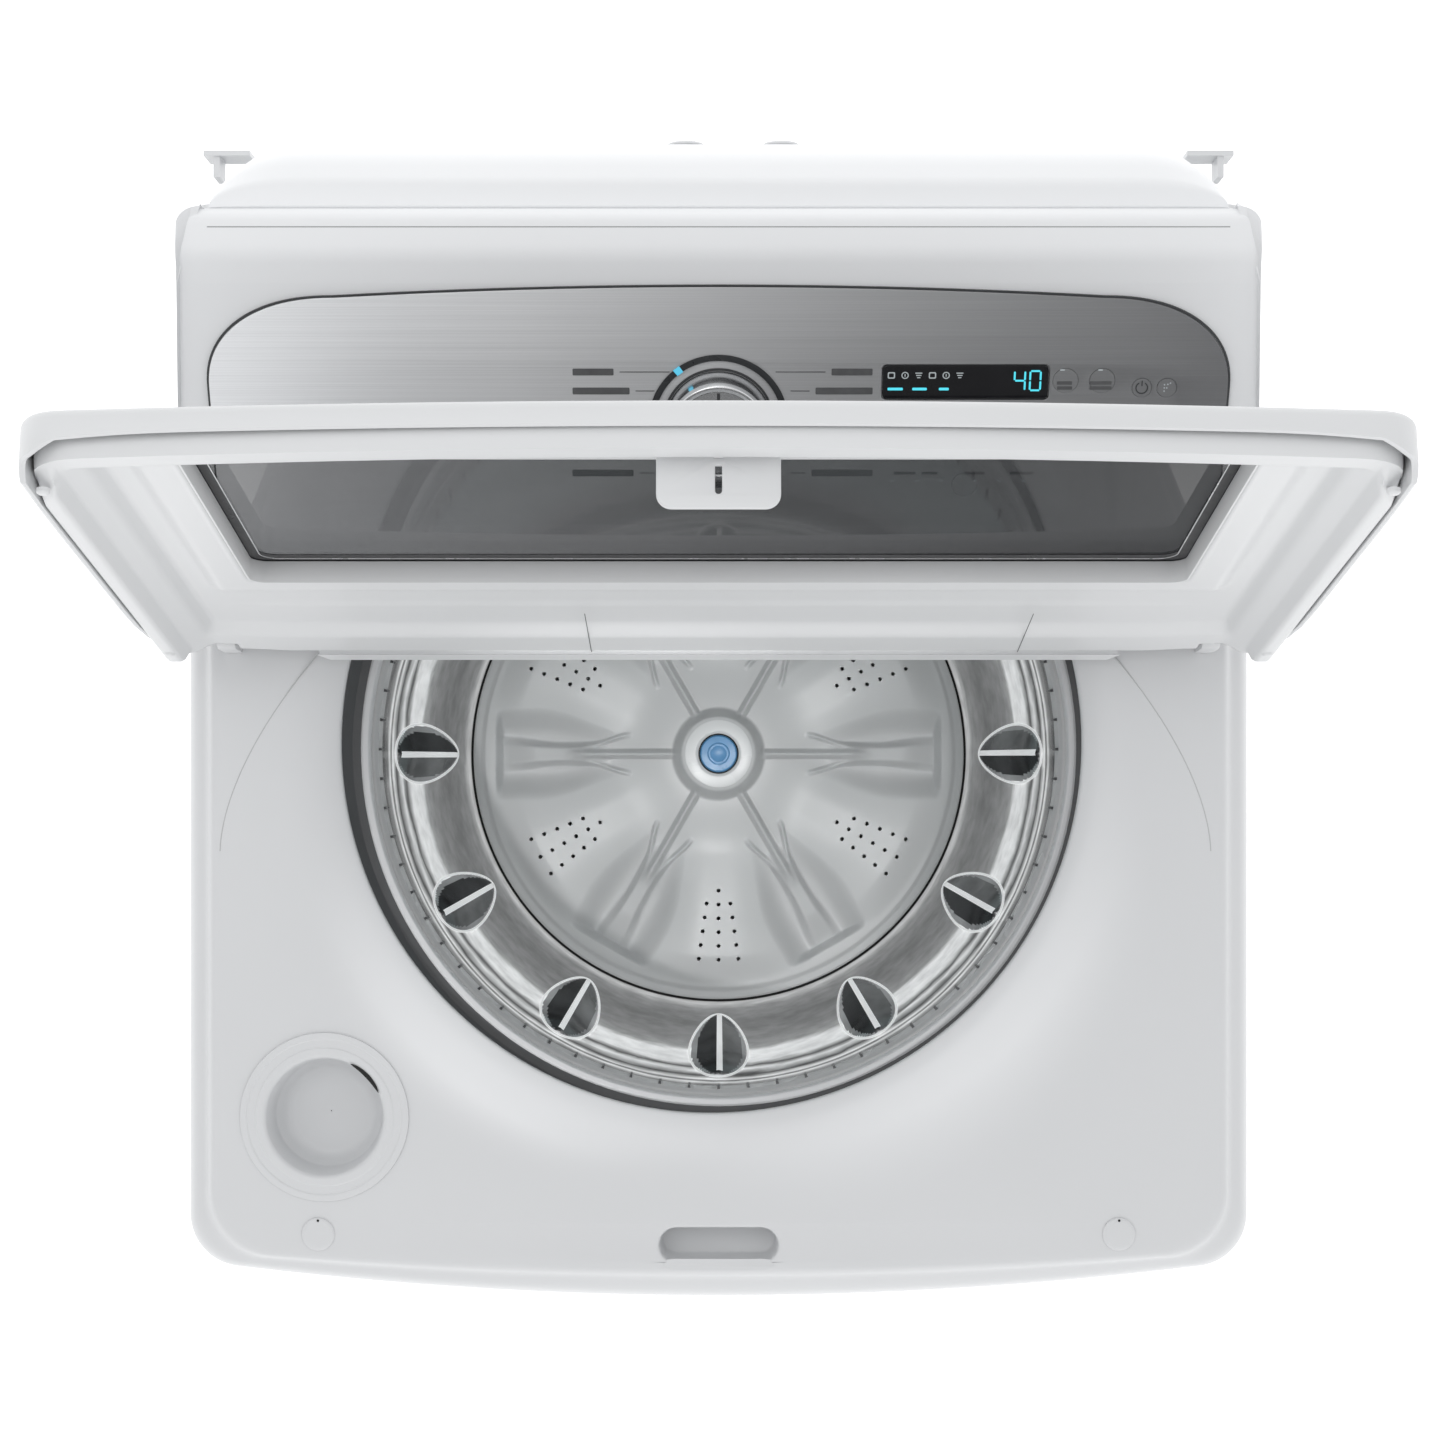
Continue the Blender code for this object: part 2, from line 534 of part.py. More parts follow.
tab = box("lid_striker", (-0.0305, 0.0305), (-0.3900, -0.3860), (-0.0410, -0.0129))
place(tab, WHITE_PLASTIC, parent=LID)
boolean(tab, box("striker_slot_cut", (-0.0017, 0.0017), (-0.40, -0.37), (-0.0335, -0.0140)), parent=LID)

for side, sx in (("left", -1), ("right", 1)):
    x0, x1 = sorted((sx * 0.3003, sx * 0.3190))
    pin = cyl("lid_hinge_pin_" + side, 0.0040, x0, x1, 16, (0, 0), "X")
    place(pin, GALV, parent=LID)

# ---------------------------------------------------------------- suspended tub
EAR_AT = [(sx, ry) for sx in (-1, 1) for ry in (ROD_FRONT, ROD_REAR)]
tub = lathe("outer_tub", [(TUB_R, TUB_TOP), (TUB_R, 0.365), (0.286, 0.328), (0.100, 0.3000), (0.050, 0.3000),
                          (0.050, 0.3040), (0.099, 0.3040), (0.2835, 0.3320), (0.2925, 0.367), (0.2925, TUB_TOP)], 32)
place(tub, TUB_PLASTIC, (0, TUB_Y, 0))
for i, (sx, ry) in enumerate(EAR_AT):
    a = atan2(ry - TUB_Y, sx * ROD_X)
    d = hypot(ry - TUB_Y, ROD_X)
    bm = bmesh.new()
    bmesh.ops.create_cube(bm, size=1.0)
    for v in bm.verts:
        v.co = Vector((0.342 + v.co.x * (d + 0.020 - 0.294) / 1.0 + (0 if v.co.x > 0 else 0.0), v.co.y * 0.044,
                       EAR_Z + 0.006 + v.co.z * 0.012))
    lo = min(v.co.x for v in bm.verts)
    hi = max(v.co.x for v in bm.verts)
    for v in bm.verts:
        v.co.x = 0.2935 if v.co.x == lo else d + 0.020
    bmesh.ops.rotate(bm, verts=bm.verts, matrix=Matrix.Rotation(a, 3, "Z"))
    boolean(tub, from_bmesh("tub_ear_%d" % i, bm), "UNION", loc=(0, TUB_Y, 0))
    boolean(tub, cyl("ear_hole_%d" % i, 0.0060, 0.35, 0.50, 12, (sx * ROD_X, ry)))

tub_ring = lathe("tub_ring", [(TUB_R, RING_TOP), (TUB_R, TUB_TOP + GAP), (0.2375, TUB_TOP + GAP), (0.2375, 0.943),
                              (0.2280, 0.943), (0.2280, 0.956), (0.2335, 0.958), (0.2335, RING_TOP)], 32)
place(tub_ring, WHITE_PLASTIC, (0, TUB_Y, 0))

gearcase = lathe("gearcase", [(0.0900, 0.2997), (0.0900, 0.2880), (0.0620, 0.2760), (0.0620, 0.1885), (0.0215, 0.1885),
                              (0.0215, 0.2997)], 24)
place(gearcase, ALU, (0, TUB_Y, 0))
stator = lathe("motor_stator", [(0.1330, 0.1882), (0.1330, 0.1500), (0.0950, 0.1500), (0.0950, 0.1800), (0.0450, 0.1800),
                                (0.0450, 0.1882)], 24)
place(stator, COPPER, (0, TUB_Y, 0))

# suspension: rod through the spring and the tub's seat, hung below the deck's corners
SPRING_TURNS, SPRING_R, SPRING_WIRE = 3, 0.0135, 0.0024
for tag, sx, ry in (("fl", -1, ROD_FRONT), ("fr", 1, ROD_FRONT), ("rl", -1, ROD_REAR), ("rr", 1, ROD_REAR)):
    rod = lathe("suspension_rod_" + tag,
                [(0, 0.9650), (0.0130, 0.9640), (0.0130, 0.9560), (0.0030, 0.9500), (0.0030, 0.3320), (0.0190, 0.3320),
                 (0.0190, 0.3260), (0.0030, 0.3260), (0.0030, 0.3160), (0, 0.3160)], 12, closed=False)
    place(rod, GALV, (sx * ROD_X, ry, 0))
    cu = bpy.data.curves.new("suspension_spring_" + tag, "CURVE")
    cu.dimensions = "3D"
    cu.bevel_depth = SPRING_WIRE
    cu.bevel_resolution = 1
    cu.use_fill_caps = True
    sp = cu.splines.new("POLY")
    n = SPRING_TURNS * 8
    z0, z1 = 0.3320 + 0.0028, EAR_Z - 0.0028
    sp.points.add(n)
    for i in range(n + 1):
        t = i / n
        sp.points[i].co = (SPRING_R * cos(2 * pi * SPRING_TURNS * t), SPRING_R * sin(2 * pi * SPRING_TURNS * t),
                           z0 + (z1 - z0) * t, 1)
    spring = bpy.data.objects.new("suspension_spring_" + tag, cu)
    place(spring, None, (sx * ROD_X, ry, 0))
    cu.materials.append(material(*GALV))

# drain pump on the base frame
pump = box("drain_pump", (0.215, 0.300), (-0.235, -0.150), (0.0523, 0.090))
boolean(pump, cyl("pump_body", 0.030, 0.070, 0.128, 18, (0.2575, -0.1925)), "UNION")
boolean(pump, cyl("pump_spout", 0.011, -0.170, -0.090, 12, (0.2575, 0.075), "Y"), "UNION")
place(pump, GREY_PLASTIC)

# ---------------------------------------------------------------- basket group
basket = lathe("basket", [(BASKET_R, BASKET_TOP), (BASKET_R, 0.588), (0.2650, 0.572), (0.2605, 0.5590),
                          (0.2540, 0.5490), (0.2140, 0.4930), (0.2085, 0.4875), (0.2062, 0.4830), (0.2062, 0.4640),
                          (0.0300, 0.4620)], 32, closed=False)
s = basket.modifiers.new("sheet", "SOLIDIFY")
s.thickness = 0.001
s.offset = -1
place(basket, STEEL, (0, TUB_Y, 0))

balance = lathe("balance_ring", [(0.2680, 0.9300), (0.2680, BASKET_TOP + GAP), (0.2310, BASKET_TOP + GAP),
                                 (BALANCE_IN, 0.9050), (BALANCE_IN, 0.9250), (0.2310, 0.9300)], 32)
place(balance, GREY_PLASTIC, (0, TUB_Y, 0))

spin_tube = lathe("basket_hub", [(0.0750, 0.4613), (0.0750, 0.4520), (0.0350, 0.4420), (0.0200, 0.4300), (0.0200, 0.1950),
                                 (0.0125, 0.1950), (0.0125, 0.4613)], 24)
place(spin_tube, ALU, (0, TUB_Y, 0))

# ---------------------------------------------------------------- pulsator group
puls = lathe("pulsator", [(0.0290, HUB_TOP), (0.0340, 0.5230), (0.0500, 0.5030), (0.1200, 0.4950), (0.1900, 0.4900),
                          (PULS_R, PULS_Z), (PULS_R, 0.4780), (0.1985, 0.4780), (0.1900, 0.4860), (0.0550, 0.4890),
                          (0.0300, 0.4890), (0.0300, 0.4740), (0.0121, 0.4740), (0.0121, 0.5290), (0.0160, 0.5290),
                          (0.0160, HUB_TOP)], 24)
place(puls, GREY_PLASTIC, (0, TUB_Y, 0))
for i in range(6):
    bm = bmesh.new()
    bmesh.ops.create_cube(bm, size=1.0)
    for v in bm.verts:
        outer, up = v.co.x > 0, v.co.z > 0
        w = (0.024 if up else 0.030) if outer else (0.004 if up else 0.008)
        v.co = Vector((0.182 if outer else 0.0305, w if v.co.y > 0 else -w,
                       (0.5080 if outer else 0.5240) if up else 0.4885))
    bmesh.ops.rotate(bm, verts=bm.verts, matrix=Matrix.Rotation(i * pi / 3, 3, "Z"))
    boolean(puls, from_bmesh("vane_%d" % i, bm), "UNION", loc=(0, TUB_Y, 0))

cap = lathe("pulsator_cap", [(0, 0.5368), (0.0090, 0.5368), (0.0150, 0.5355), (0.0157, 0.5340), (0.0157, 0.5293),
                             (0, 0.5293)], 20, closed=False)
place(cap, BLUE, (0, TUB_Y, 0))

shaft = cyl("drive_shaft", 0.0115, 0.1260, 0.5285, 20)
place(shaft, GALV, (0, TUB_Y, 0))
rotor = lathe("motor_rotor", [(0.1400, 0.1850), (0.1400, 0.1300), (0.0118, 0.1300), (0.0118, 0.1600), (0.0220, 0.1600),
                              (0.0220, 0.1340), (0.1365, 0.1340), (0.1365, 0.1850)], 24)
place(rotor, GALV, (0, TUB_Y, 0))

for ob in PARTS.objects:
    if ob.type == "MESH" and len(ob.data.polygons):
        smooth(ob)
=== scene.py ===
import json
import math
import bpy
import bmesh
import numpy as np
from mathutils import Matrix, Vector, geometry


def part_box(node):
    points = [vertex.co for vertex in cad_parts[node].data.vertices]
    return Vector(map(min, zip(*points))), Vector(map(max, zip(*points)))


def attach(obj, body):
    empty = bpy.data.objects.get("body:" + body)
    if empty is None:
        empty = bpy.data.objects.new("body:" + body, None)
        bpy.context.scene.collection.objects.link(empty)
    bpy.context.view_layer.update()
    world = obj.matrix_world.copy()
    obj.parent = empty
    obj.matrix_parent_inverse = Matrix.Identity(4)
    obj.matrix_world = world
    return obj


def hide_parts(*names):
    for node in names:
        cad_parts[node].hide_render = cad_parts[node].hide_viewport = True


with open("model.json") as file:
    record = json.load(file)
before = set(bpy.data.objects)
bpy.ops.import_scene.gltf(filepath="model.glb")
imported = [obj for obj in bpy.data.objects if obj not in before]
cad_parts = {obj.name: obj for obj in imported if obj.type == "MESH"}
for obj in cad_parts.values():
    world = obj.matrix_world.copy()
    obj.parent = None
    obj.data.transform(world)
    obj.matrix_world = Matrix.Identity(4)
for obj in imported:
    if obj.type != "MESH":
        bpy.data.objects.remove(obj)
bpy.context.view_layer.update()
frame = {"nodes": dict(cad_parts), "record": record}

PI = math.pi
TAU = 2 * math.pi

# ------------------------------------------------------------------ places read from the frame
JOINT = {j["name"]: j for j in frame["record"]["behaviour"]["joints"]}


def lohi(node):
    lo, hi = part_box(node)
    return np.array(lo), np.array(hi)


t_lo, t_hi = lohi("pulsator")
TX, TY = float((t_lo[0] + t_hi[0]) / 2), float((t_lo[1] + t_hi[1]) / 2)
PULS_R = float((t_hi[0] - t_lo[0]) / 2)
HINGE = Vector(JOINT["lid_hinge"]["pos_m"])
LID_OPEN = math.radians(JOINT["lid_hinge"]["range_deg"][1])
LID_M = Matrix.Translation(HINGE) @ Matrix.Rotation(-LID_OPEN, 4, "X")
KNOB_P = Vector(JOINT["selector_turn"]["pos_m"])
KNOB_N = Vector(JOINT["selector_turn"]["axis"]).normalized()
SLOPE = math.atan2(-KNOB_N.y, KNOB_N.z)
f_lo, f_hi = lohi("console_fascia")
FY = float((f_lo[1] + f_hi[1]) / 2) - 0.00125 * KNOB_N.y
FZ = KNOB_P.z + (FY - KNOB_P.y) * math.tan(SLOPE)
TILT = Matrix.Translation((0, FY, FZ)) @ Matrix.Rotation(SLOPE, 4, "X")
KNOB_V = (KNOB_P - Vector((0, FY, FZ))).length * (1 if KNOB_P.y > FY else -1)
d_lo, d_hi = lohi("top_cover")
HALF_W = float(d_hi[0])
FRONT, REAR = float(d_lo[1]), float(d_hi[1])
Z_SKIRT = float(d_lo[2])
Z_DECK = float(d_hi[2])
OPEN_X, OPEN_Y, OPEN_R, OPEN_REAR = -0.0045, TY + 0.0034, 0.2376, 0.058
c_lo, c_hi = lohi("bleach_cup")
CUP = ((float(c_lo[0]) + float(c_hi[0])) / 2, (float(c_lo[1]) + float(c_hi[1])) / 2)
CUP_R = float(c_hi[0] - c_lo[0]) / 2


# ------------------------------------------------------------------ materials
def principled(name, colour, rough, metal=0.0, **const):
    m = bpy.data.materials.new(name)
    m.use_nodes = True
    b = m.node_tree.nodes["Principled BSDF"]
    b.inputs["Base Color"].default_value = (*colour, 1)
    b.inputs["Roughness"].default_value = rough
    b.inputs["Metallic"].default_value = metal
    for k, v in const.items():
        b.inputs[k.replace("_", " ")].default_value = v
    return m, b


def textured(name, colour, rough, metal=0.0, spread=0.03, scale=60.0, stretch=(1, 1, 1), rough_spread=0.06,
             bump=0.0, bump_scale=900.0, detail=3.0, **const):
    """A shader whose colour, roughness and fine relief come from noise over the object's own coordinates."""
    m, b = principled(name, colour, rough, metal, **const)
    nt = m.node_tree
    tc = nt.nodes.new("ShaderNodeTexCoord")
    mp = nt.nodes.new("ShaderNodeMapping")
    mp.inputs["Scale"].default_value = stretch
    nt.links.new(tc.outputs["Object"], mp.inputs["Vector"])
    n1 = nt.nodes.new("ShaderNodeTexNoise")
    n1.inputs["Scale"].default_value = scale
    n1.inputs["Detail"].default_value = detail
    nt.links.new(mp.outputs["Vector"], n1.inputs["Vector"])
    ramp = nt.nodes.new("ShaderNodeValToRGB")
    lo = [max(0.0, c * (1 - spread)) for c in colour]
    hi = [min(1.0, c * (1 + spread)) for c in colour]
    ramp.color_ramp.interpolation = "EASE"
    ramp.color_ramp.elements[0].position = 0.2
    ramp.color_ramp.elements[1].position = 0.8
    ramp.color_ramp.elements[0].color = (*lo, 1)
    ramp.color_ramp.elements[1].color = (*hi, 1)
    nt.links.new(n1.outputs["Fac"], ramp.inputs["Fac"])
    nt.links.new(ramp.outputs["Color"], b.inputs["Base Color"])
    mr = nt.nodes.new("ShaderNodeMapRange")
    mr.inputs["From Min"].default_value = 0.3
    mr.inputs["From Max"].default_value = 0.7
    mr.inputs["To Min"].default_value = max(0.0, rough - rough_spread)
    mr.inputs["To Max"].default_value = min(1.0, rough + rough_spread)
    nt.links.new(n1.outputs["Fac"], mr.inputs["Value"])
    nt.links.new(mr.outputs["Result"], b.inputs["Roughness"])
    if bump:
        n2 = nt.nodes.new("ShaderNodeTexNoise")
        n2.inputs["Scale"].default_value = bump_scale
        n2.inputs["Detail"].default_value = 2.0
        nt.links.new(mp.outputs["Vector"], n2.inputs["Vector"])
        bp = nt.nodes.new("ShaderNodeBump")
        bp.inputs["Strength"].default_value = bump
        bp.inputs["Distance"].default_value = 0.0004
        nt.links.new(n2.outputs["Fac"], bp.inputs["Height"])
        nt.links.new(bp.outputs["Normal"], b.inputs["Normal"])
    return m


M = {}
M["white_plastic"] = textured("white_moulding", (0.675, 0.682, 0.692), 0.36, spread=0.006, scale=9, rough_spread=0.02,
                              bump=0.05, bump_scale=1400)
M["white_lid"] = textured("white_lid_moulding", (0.70, 0.707, 0.715), 0.42, spread=0.006, scale=9, rough_spread=0.02,
                          bump=0.05, bump_scale=1400)
M["white_paint"] = textured("white_enamel", (0.66, 0.665, 0.67), 0.28, spread=0.010, scale=140, rough_spread=0.02,
                            bump=0.02, bump_scale=420, Coat_Weight=0.25, Coat_Roughness=0.12)
M["galv"] = textured("zinc_steel", (0.46, 0.475, 0.485), 0.46, 0.8, spread=0.07, scale=120, rough_spread=0.06, bump=0.04,
                     bump_scale=200)
# a brighter copy of the white moulding for the console: its stronger light is painted into the colour
M["white_console"] = textured("white_console_painted_brighter", (0.86, 0.868, 0.88), 0.36, spread=0.006, scale=9, rough_spread=0.02,
                              bump=0.05, bump_scale=1400)
M["crease"] = textured("crease_shade", (0.50, 0.505, 0.51), 0.5, spread=0.03, scale=60)
M["groove"] = textured("groove_shade", (0.30, 0.302, 0.305), 0.6, spread=0.05, scale=60)
M["grey_plastic"] = textured("grey_moulding", (0.50, 0.505, 0.51), 0.38, spread=0.02, scale=30, rough_spread=0.05,
                             bump=0.06, bump_scale=1600)
M["pulsator"] = textured("pulsator_moulding", (0.63, 0.634, 0.638), 0.38, spread=0.02, scale=14, rough_spread=0.05,
                         bump=0.04, bump_scale=1600)
M["balance"] = textured("balance_ring_moulding", (0.74, 0.745, 0.75), 0.28, spread=0.015, scale=20, rough_spread=0.05,
                        bump=0.04, bump_scale=1500)
M["ring_grey"] = textured("ring_grey_moulding", (0.60, 0.604, 0.608), 0.24, spread=0.02, scale=20, rough_spread=0.05,
                           bump=0.04, bump_scale=1500)
M["tub"] = textured("tub_moulding", (0.62, 0.64, 0.65), 0.5, spread=0.03, scale=20, bump=0.08, bump_scale=800)
M["dark_plastic"] = textured("dark_moulding", (0.075, 0.077, 0.08), 0.42, spread=0.08, scale=40, bump=0.08,
                             bump_scale=1500)
M["black_plastic"] = textured("black_moulding", (0.018, 0.018, 0.02), 0.38, spread=0.1, scale=40, bump=0.08,
                              bump_scale=1500)
M["ring_dark"] = textured("dial_ring_dark", (0.035, 0.037, 0.04), 0.30, spread=0.1, scale=60)
M["rubber"] = textured("black_rubber", (0.03, 0.03, 0.03), 0.75, spread=0.2, scale=60, bump=0.3, bump_scale=700)
M["blue"] = textured("blue_cap", (0.13, 0.33, 0.60), 0.32, spread=0.05, scale=90, bump=0.04, bump_scale=1500)
M["aluminium"] = textured("cast_aluminium", (0.56, 0.57, 0.58), 0.5, 1.0, spread=0.1, scale=120, bump=0.3, bump_scale=500)
M["copper"] = textured("winding_enamel", (0.52, 0.22, 0.10), 0.35, 0.9, spread=0.15, scale=240, bump=0.3, bump_scale=900)
M["pcb"] = textured("solder_mask", (0.03, 0.16, 0.07), 0.45, spread=0.15, scale=150, bump=0.1, bump_scale=900)
M["chrome"] = textured("satin_chrome", (0.78, 0.79, 0.80), 0.16, 1.0, spread=0.02, scale=40, rough_spread=0.04)
M["knob_face"] = textured("knob_spun_face", (0.80, 0.81, 0.82), 0.30, 1.0, spread=0.03, scale=90, rough_spread=0.06)
# dark ink for print; also used as painted shade under the knob's skirt
M["ink"] = textured("dark_ink_and_shade", (0.045, 0.047, 0.05), 0.5, spread=0.1, scale=200)
M["ink_grey"] = textured("grey_ink", (0.11, 0.112, 0.115), 0.5, spread=0.1, scale=200)
M["border_black"] = textured("glass_border_black", (0.010, 0.010, 0.011), 0.22, spread=0.1, scale=90)
M["lens"] = textured("display_window", (0.012, 0.012, 0.014), 0.10, spread=0.1, scale=90)
M["slit"] = textured("slit_shadow", (0.012, 0.012, 0.012), 0.8, spread=0.1, scale=90)
M["silver_line"] = textured("bright_edge", (0.85, 0.86, 0.87), 0.25, 0.6, spread=0.03, scale=60)


def steel_material():
    # Bright and dark rings painted into the colour by height stand in for reflections; the same colour feeds the
    # emission, so the steel glows a little.
    m, b = principled("polished_steel", (0.7, 0.705, 0.71), 0.20, 0.42)
    nt = m.node_tree
    tc = nt.nodes.new("ShaderNodeTexCoord")
    sep = nt.nodes.new("ShaderNodeSeparateXYZ")
    nt.links.new(tc.outputs["Object"], sep.inputs["Vector"])
    wob = nt.nodes.new("ShaderNodeTexNoise")
    wob.inputs["Scale"].default_value = 26.0
    wob.inputs["Detail"].default_value = 3.0
    wob.inputs["Distortion"].default_value = 0.8
    mp = nt.nodes.new("ShaderNodeMapping")
    mp.inputs["Scale"].default_value = (1, 1, 7)
    nt.links.new(tc.outputs["Object"], mp.inputs["Vector"])
    nt.links.new(mp.outputs["Vector"], wob.inputs["Vector"])
    add = nt.nodes.new("ShaderNodeMath")
    add.operation = "MULTIPLY_ADD"
    add.inputs[1].default_value = 0.0045
    nt.links.new(wob.outputs["Fac"], add.inputs[0])
    nt.links.new(sep.outputs["Z"], add.inputs[2])
    mr = nt.nodes.new("ShaderNodeMapRange")
    mr.inputs["From Min"].default_value = 0.474
    mr.inputs["From Max"].default_value = 0.674
    nt.links.new(add.outputs["Value"], mr.inputs["Value"])
    ramp = nt.nodes.new("ShaderNodeValToRGB")
    e = ramp.color_ramp.elements
    e[0].position, e[0].color = 0.0, (0.90, 0.905, 0.91, 1)
    e[1].position, e[1].color = 1.0, (0.45, 0.505, 0.51, 1)
    # painted reflection bands, bright and dark by height
    for pos, c in ((0.06, 0.80), (0.09, 0.34), (0.16, 0.22), (0.25, 0.30), (0.285, 0.42), (0.30, 1.0), (0.35, 1.0),
                   (0.37, 0.10), (0.385, 1.0), (0.41, 0.10), (0.435, 1.0), (0.455, 0.05), (0.475, 1.0), (0.50, 0.30),
                   (0.56, 0.09), (0.70, 0.09), (0.76, 0.34)):
        k = e.new(pos)
        k.color = (c, c * 1.003, c * 1.006, 1)
    nt.links.new(mr.outputs["Result"], ramp.inputs["Fac"])
    fine = nt.nodes.new("ShaderNodeTexNoise")
    fine.inputs["Scale"].default_value = 60.0
    fine.inputs["Detail"].default_value = 5.0
    mp2 = nt.nodes.new("ShaderNodeMapping")
    mp2.inputs["Scale"].default_value = (1, 1, 4)
    nt.links.new(tc.outputs["Object"], mp2.inputs["Vector"])
    nt.links.new(mp2.outputs["Vector"], fine.inputs["Vector"])
    fr = nt.nodes.new("ShaderNodeValToRGB")
    fr.color_ramp.elements[0].position = 0.32
    fr.color_ramp.elements[0].color = (0.84, 0.84, 0.84, 1)
    fr.color_ramp.elements[1].position = 0.68
    fr.color_ramp.elements[1].color = (1.12, 1.12, 1.12, 1)
    nt.links.new(fine.outputs["Fac"], fr.inputs["Fac"])
    mix = nt.nodes.new("ShaderNodeMix")
    mix.data_type = "RGBA"
    mix.blend_type = "MULTIPLY"
    mix.inputs["Factor"].default_value = 1.0
    nt.links.new(ramp.outputs["Color"], mix.inputs["A"])
    nt.links.new(fr.outputs["Color"], mix.inputs["B"])
    nt.links.new(mix.outputs["Result"], b.inputs["Base Color"])
    # emission from the painted bands makes the steel self-lit
    nt.links.new(mix.outputs["Result"], b.inputs["Emission Color"])
    b.inputs["Emission Strength"].default_value = 0.34
    bp = nt.nodes.new("ShaderNodeBump")
    bp.inputs["Strength"].default_value = 0.18
    bp.inputs["Distance"].default_value = 0.003
    nt.links.new(wob.outputs["Fac"], bp.inputs["Height"])
    nt.links.new(bp.outputs["Normal"], b.inputs["Normal"])
    return m


M["steel"] = steel_material()
# Dimple zones with painted shade and light: a dark side, a half-shaded side, a lighter rim, and a bright crest that
# glows as a painted highlight.
M["dimple_dark"] = textured("dimple_shaded_side", (0.085, 0.087, 0.09), 0.20, 0.7, spread=0.25, scale=50)
M["dimple_mid"] = textured("dimple_painted_half_shade", (0.30, 0.303, 0.306), 0.20, 0.7, spread=0.25, scale=50)
M["dimple_soft"] = textured("dimple_painted_light_rim", (0.62, 0.625, 0.63), 0.20, 0.7, spread=0.15, scale=50)
M["dimple"] = textured("dimple_painted_highlight", (0.98, 0.985, 0.99), 0.25, 0.2, spread=0.04, scale=20, rough_spread=0.03)
# the crest's painted highlight also glows
for node in M["dimple"].node_tree.nodes:
    if node.type == "BSDF_PRINCIPLED":
        node.inputs["Emission Color"].default_value = (0.95, 0.96, 0.97, 1)
        node.inputs["Emission Strength"].default_value = 0.34


def fascia_material():
    """Brushed metal: long fine streaks along X over a painted reflection that goes from light at one end to dark at the
    other.
    """
    m, b = principled("brushed_fascia_painted_reflection", (0.4, 0.4, 0.41), 0.48, 0.30)
    nt = m.node_tree
    tc = nt.nodes.new("ShaderNodeTexCoord")
    sep = nt.nodes.new("ShaderNodeSeparateXYZ")
    nt.links.new(tc.outputs["Object"], sep.inputs["Vector"])
    # the painted reflection runs along X, light at -X and dark at +X
    mr = nt.nodes.new("ShaderNodeMapRange")
    mr.inputs["From Min"].default_value = -0.31
    mr.inputs["From Max"].default_value = 0.31
    nt.links.new(sep.outputs["X"], mr.inputs["Value"])
    painted_reflection_ramp = nt.nodes.new("ShaderNodeValToRGB")
    e = painted_reflection_ramp.color_ramp.elements
    e[0].position, e[0].color = 0.0, (0.90, 0.91, 0.925, 1)
    e[1].position, e[1].color = 1.0, (0.155, 0.157, 0.162, 1)
    k = e.new(0.30)
    k.color = (0.76, 0.765, 0.775, 1)
    k = e.new(0.66)
    k.color = (0.42, 0.424, 0.432, 1)
    nt.links.new(mr.outputs["Result"], painted_reflection_ramp.inputs["Fac"])
    mp = nt.nodes.new("ShaderNodeMapping")
    mp.inputs["Scale"].default_value = (2.2, 900, 900)
    nt.links.new(tc.outputs["Object"], mp.inputs["Vector"])
    n = nt.nodes.new("ShaderNodeTexNoise")
    n.inputs["Scale"].default_value = 1.6
    n.inputs["Detail"].default_value = 6.0
    n.inputs["Roughness"].default_value = 0.65
    nt.links.new(mp.outputs["Vector"], n.inputs["Vector"])
    streak = nt.nodes.new("ShaderNodeValToRGB")
    streak.color_ramp.elements[0].position = 0.30
    streak.color_ramp.elements[0].color = (0.90, 0.90, 0.90, 1)
    streak.color_ramp.elements[1].position = 0.70
    streak.color_ramp.elements[1].color = (1.06, 1.06, 1.06, 1)
    nt.links.new(n.outputs["Fac"], streak.inputs["Fac"])
    mix = nt.nodes.new("ShaderNodeMix")
    mix.data_type = "RGBA"
    mix.blend_type = "MULTIPLY"
    mix.inputs["Factor"].default_value = 1.0
    nt.links.new(painted_reflection_ramp.outputs["Color"], mix.inputs["A"])
    nt.links.new(streak.outputs["Color"], mix.inputs["B"])
    nt.links.new(mix.outputs["Result"], b.inputs["Base Color"])
    bp = nt.nodes.new("ShaderNodeBump")
    bp.inputs["Strength"].default_value = 0.12
    bp.inputs["Distance"].default_value = 0.0003
    nt.links.new(n.outputs["Fac"], bp.inputs["Height"])
    nt.links.new(bp.outputs["Normal"], b.inputs["Normal"])
    return m


M["fascia"] = fascia_material()


def glow(name, colour, strength):
    m, b = principled(name, tuple(0.3 * c for c in colour), 0.4)
    b.inputs["Emission Color"].default_value = (*colour, 1)
    b.inputs["Emission Strength"].default_value = strength
    nt = m.node_tree
    tc = nt.nodes.new("ShaderNodeTexCoord")
    n = nt.nodes.new("ShaderNodeTexNoise")
    n.inputs["Scale"].default_value = 400.0
    nt.links.new(tc.outputs["Object"], n.inputs["Vector"])
    mr = nt.nodes.new("ShaderNodeMapRange")
    mr.inputs["To Min"].default_value = 0.30
    mr.inputs["To Max"].default_value = 0.5
    nt.links.new(n.outputs["Fac"], mr.inputs["Value"])
    nt.links.new(mr.outputs["Result"], b.inputs["Roughness"])
    return m


M["cyan"] = glow("lit_cyan", (0.10, 0.75, 0.90), 0.9)
M["dial_light"] = glow("lit_dial_mark", (0.12, 0.62, 0.88), 0.75)
M["pale_icon"] = glow("lit_pale", (0.55, 0.60, 0.62), 0.5)


